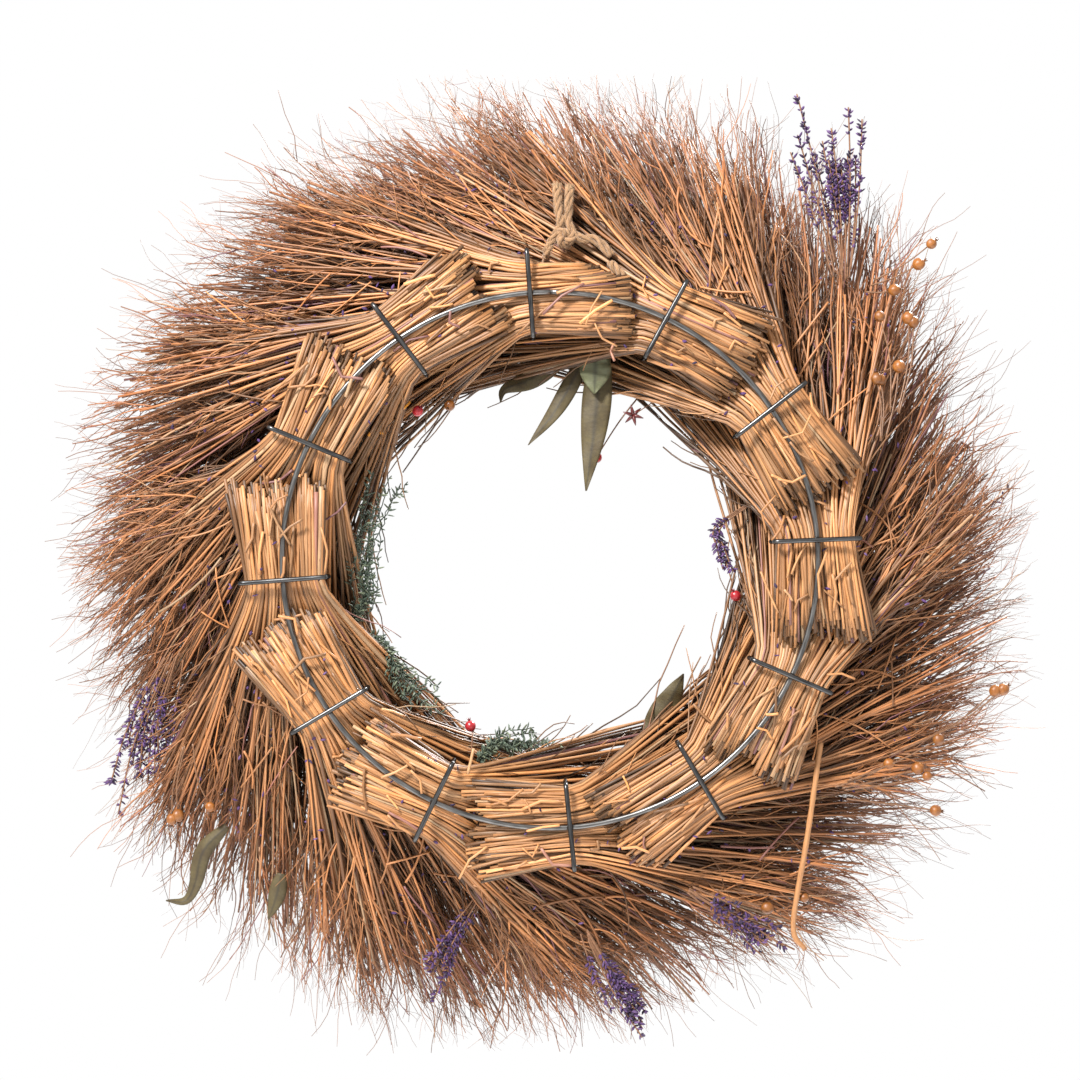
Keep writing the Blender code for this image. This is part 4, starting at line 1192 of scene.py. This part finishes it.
def build_star_calyx(material):
    """A dark star-shaped calyx that hangs by a thread inside the ring."""
    star = Builder()
    route = layer_route((36.0, -0.0290, 0.60), (33.0, -0.0440, 0.52), (30.0, -0.0555, 0.45))
    for turn in FULL_TURN * np.arange(6) / 6.0 + 0.3:
        way = np.array([math.cos(turn), 0.35 * math.sin(2.0 * turn), math.sin(turn)])
        path = route[-1] + np.outer((0.0, 0.0022, 0.0044, 0.0062), way)
        star.tubes(path[None], (0.0008, 0.0011, 0.0007, 0.0002), CALYX_TINT, 6)
    star.tubes(smooth_route(route, 0.003)[None], 0.0003, STEM_TINT, 4)
    star.finish("star_calyx", material)


def build_dyed_straw(material):
    """A few straws dyed orange, at the inner edge."""
    rng = np.random.default_rng(81)
    dyed = Builder()
    for _ in range(9):
        clock = rng.uniform(313.0, 319.0)
        start = rng.uniform(-0.031, -0.024)
        path = layer_route(*((clock - turn, start - 0.00004 * step * turn, 0.10 - 0.012 * turn)
                             for step, turn in enumerate((0.0, 3.0, 6.0, 9.0))))
        dyed.tubes(np.array(path)[None], 0.0008, ORANGE_DYE * rng.uniform(0.6, 1.1), 6, cut=True)
    dyed.finish("dyed_straw", material)


def front_route(clock, inner, outer, sweep):
    """A route over the front of the straw, from near the centre outwards with the stems' sweep."""
    return [polar(clock - sweep * mark, RING_RADIUS + inner + (outer - inner) * mark,
                  FRONT_DEPTH + 0.0035 * math.sin(math.pi * mark)) for mark in (0.0, 0.35, 0.7, 1.0)]


def build_front_leaves(rng, bunch, clock, sweep, leaf, fruit, tint):
    """Three leaves with nine fruits among them."""
    blades = Builder()
    for turn, inner, outer in ((0.0, -0.034, 0.040), (-9.0, 0.000, 0.072), (9.0, -0.020, 0.030)):
        route = front_route(clock + turn, inner, outer, 0.8 * sweep)
        half_width = rng.uniform(0.0060, 0.0085)
        add_leaf(blades, route, half_width, LEAF_TINT, 0.2, 0.3, rng.random() * 9.0)
    blades.finish(f"front_{bunch:02d}", leaf)
    fruits = Builder()
    for _ in range(9):
        inner = rng.uniform(-0.030, 0.030)
        route = front_route(clock + rng.uniform(-9.0, 9.0), inner, inner + 0.028, 0.5 * sweep)
        hang_fruit(fruits, rng, route, rng.uniform(0.0029, 0.0038), tint, 6, 0.08)
    fruits.finish(f"front_fruit_{bunch:02d}", fruit)


def build_front(flower, green, leaf, pod, berry):
    """The show side: bunches of flowers, greens, leaves, pods and berries laid round the ring."""
    rng = np.random.default_rng(91)
    for bunch in range(1, FRONT_BUNCHES + 1):
        clock = 360.0 * bunch / FRONT_BUNCHES + rng.uniform(-4.0, 4.0)
        sweep = rng.uniform(18.0, 28.0)
        name = f"front_{bunch:02d}"
        if bunch % 4 == 0:
            bristle_sprig(rng, name, front_route(clock, -0.030, 0.060, sweep), 15, -0.001, green)
        elif bunch % 8 == 2:
            build_front_leaves(rng, bunch, clock, sweep, leaf, berry, RED_TINT)
        elif bunch % 4 == 2:
            build_front_leaves(rng, bunch, clock, sweep, leaf, pod, POD_TINT)
        else:
            route = front_route(clock, rng.uniform(-0.036, -0.010), rng.uniform(0.060, 0.090), sweep)
            flower_cluster(rng, name, route, 13, 0.012, flower, lift=-0.001)


# ---------------------------------------------------------------- camera, lights and floor

LENS = 100.0
SENSOR_WIDTH = 36.0
VIEW_WIDTH = 0.6142
VIEW_RIGHT = 0.0057
VIEW_UP = 0.0114
LAMP_SIZE = 0.40
LAMP_POWER = 125.0
FLOOR_RADIUS = 1.3
FLOOR_HEIGHT = -0.95


def aim(thing, target):
    direction = Vector(target) - thing.location
    thing.rotation_euler = direction.to_track_quat("-Z", "Y").to_euler()


def add_camera():
    """Looks straight at the wire back, with the wreath as large in view as it really appears."""
    target = (CENTRE_X + VIEW_RIGHT, BACK_Y - RING_DEPTH, CENTRE_Z + VIEW_UP)
    data = bpy.data.cameras.new("camera")
    data.lens = LENS
    data.sensor_width = SENSOR_WIDTH
    camera = add_object("camera", data)
    camera.location = (target[0], target[1] + VIEW_WIDTH * LENS / SENSOR_WIDTH, target[2])
    aim(camera, target)
    bpy.context.scene.camera = camera


def add_light(name, location):
    data = bpy.data.lights.new(name, "AREA")
    data.shape = "DISK"
    data.size = LAMP_SIZE
    data.energy = LAMP_POWER
    lamp = add_object(name, data)
    lamp.location = location
    aim(lamp, (CENTRE_X, 0.0, CENTRE_Z))


def add_floor():
    shader = Shader("floor", 0.9)
    cloud = shader.noise(shader.node("ShaderNodeTexCoord", "Object"), 3.0)
    shader.colour(shader.ramp(cloud, (0.3, (0.80, 0.80, 0.80)), (0.7, (0.86, 0.86, 0.86))))
    shape = bmesh.new()
    bmesh.ops.create_circle(shape, cap_ends=True, segments=96, radius=FLOOR_RADIUS)
    mesh = bpy.data.meshes.new("floor")
    shape.to_mesh(mesh)
    shape.free()
    mesh.materials.append(shader.material)
    floor = add_object("floor", mesh)
    floor.location = (0.0, 0.0, FLOOR_HEIGHT)


def add_studio():
    """White surroundings, soft lamps on both sides of the wreath, and a pale floor far below."""
    world = bpy.data.worlds.new("studio")
    world.use_nodes = True
    background = world.node_tree.nodes["Background"]
    background.inputs["Color"].default_value = (1.0, 1.0, 1.0, 1.0)
    background.inputs["Strength"].default_value = 1.0
    bpy.context.scene.world = world
    bpy.context.scene.view_settings.view_transform = "Standard"
    add_light("key_behind", (1.0, 1.4, 1.3))
    add_light("key_front", (-1.0, -1.4, 1.3))
    add_floor()


add_camera()
add_studio()
STRAW = straw_material()
RING_STEEL = wire_material("ring_wire", (0.060, 0.058, 0.056), (0.230, 0.222, 0.212))
CLAMP_STEEL = wire_material("clamp_wire", (0.030, 0.030, 0.031), (0.120, 0.118, 0.116))
JUTE = jute_material()
FLOWER = trim_material("lavender", 0.75, 900.0, (0.7, 0.7, 0.7), (1.35, 1.3, 1.35))
POD = trim_material("seed_pod", 0.42, 420.0, (0.72, 0.62, 0.5), (1.2, 1.25, 1.3))
BERRY = trim_material("berry", 0.30, 520.0, (0.65, 0.5, 0.5), (1.25, 1.3, 1.3))
LEAF = leaf_material()
GREEN = trim_material("green_sprig", 0.65, 700.0, (0.75, 0.75, 0.7), (1.25, 1.25, 1.3))
build_hanger(JUTE)
build_bight(JUTE)
build_ring(RING_STEEL)
for bundle_number in range(1, CLAMP_COUNT + 1):
    build_clamp(bundle_number, CLAMP_STEEL)
    build_bundle(bundle_number, STRAW)
    build_loose_straws(bundle_number, STRAW)
    build_petals(bundle_number, FLOWER)
build_flowers(FLOWER)
build_pods(POD)
build_berries(BERRY)
build_leaves(LEAF)
build_greens(GREEN)
build_stalk(STRAW)
build_folded_leaf(LEAF)
build_star_calyx(BERRY)
build_dyed_straw(STRAW)
build_front(FLOWER, GREEN, LEAF, POD, BERRY)
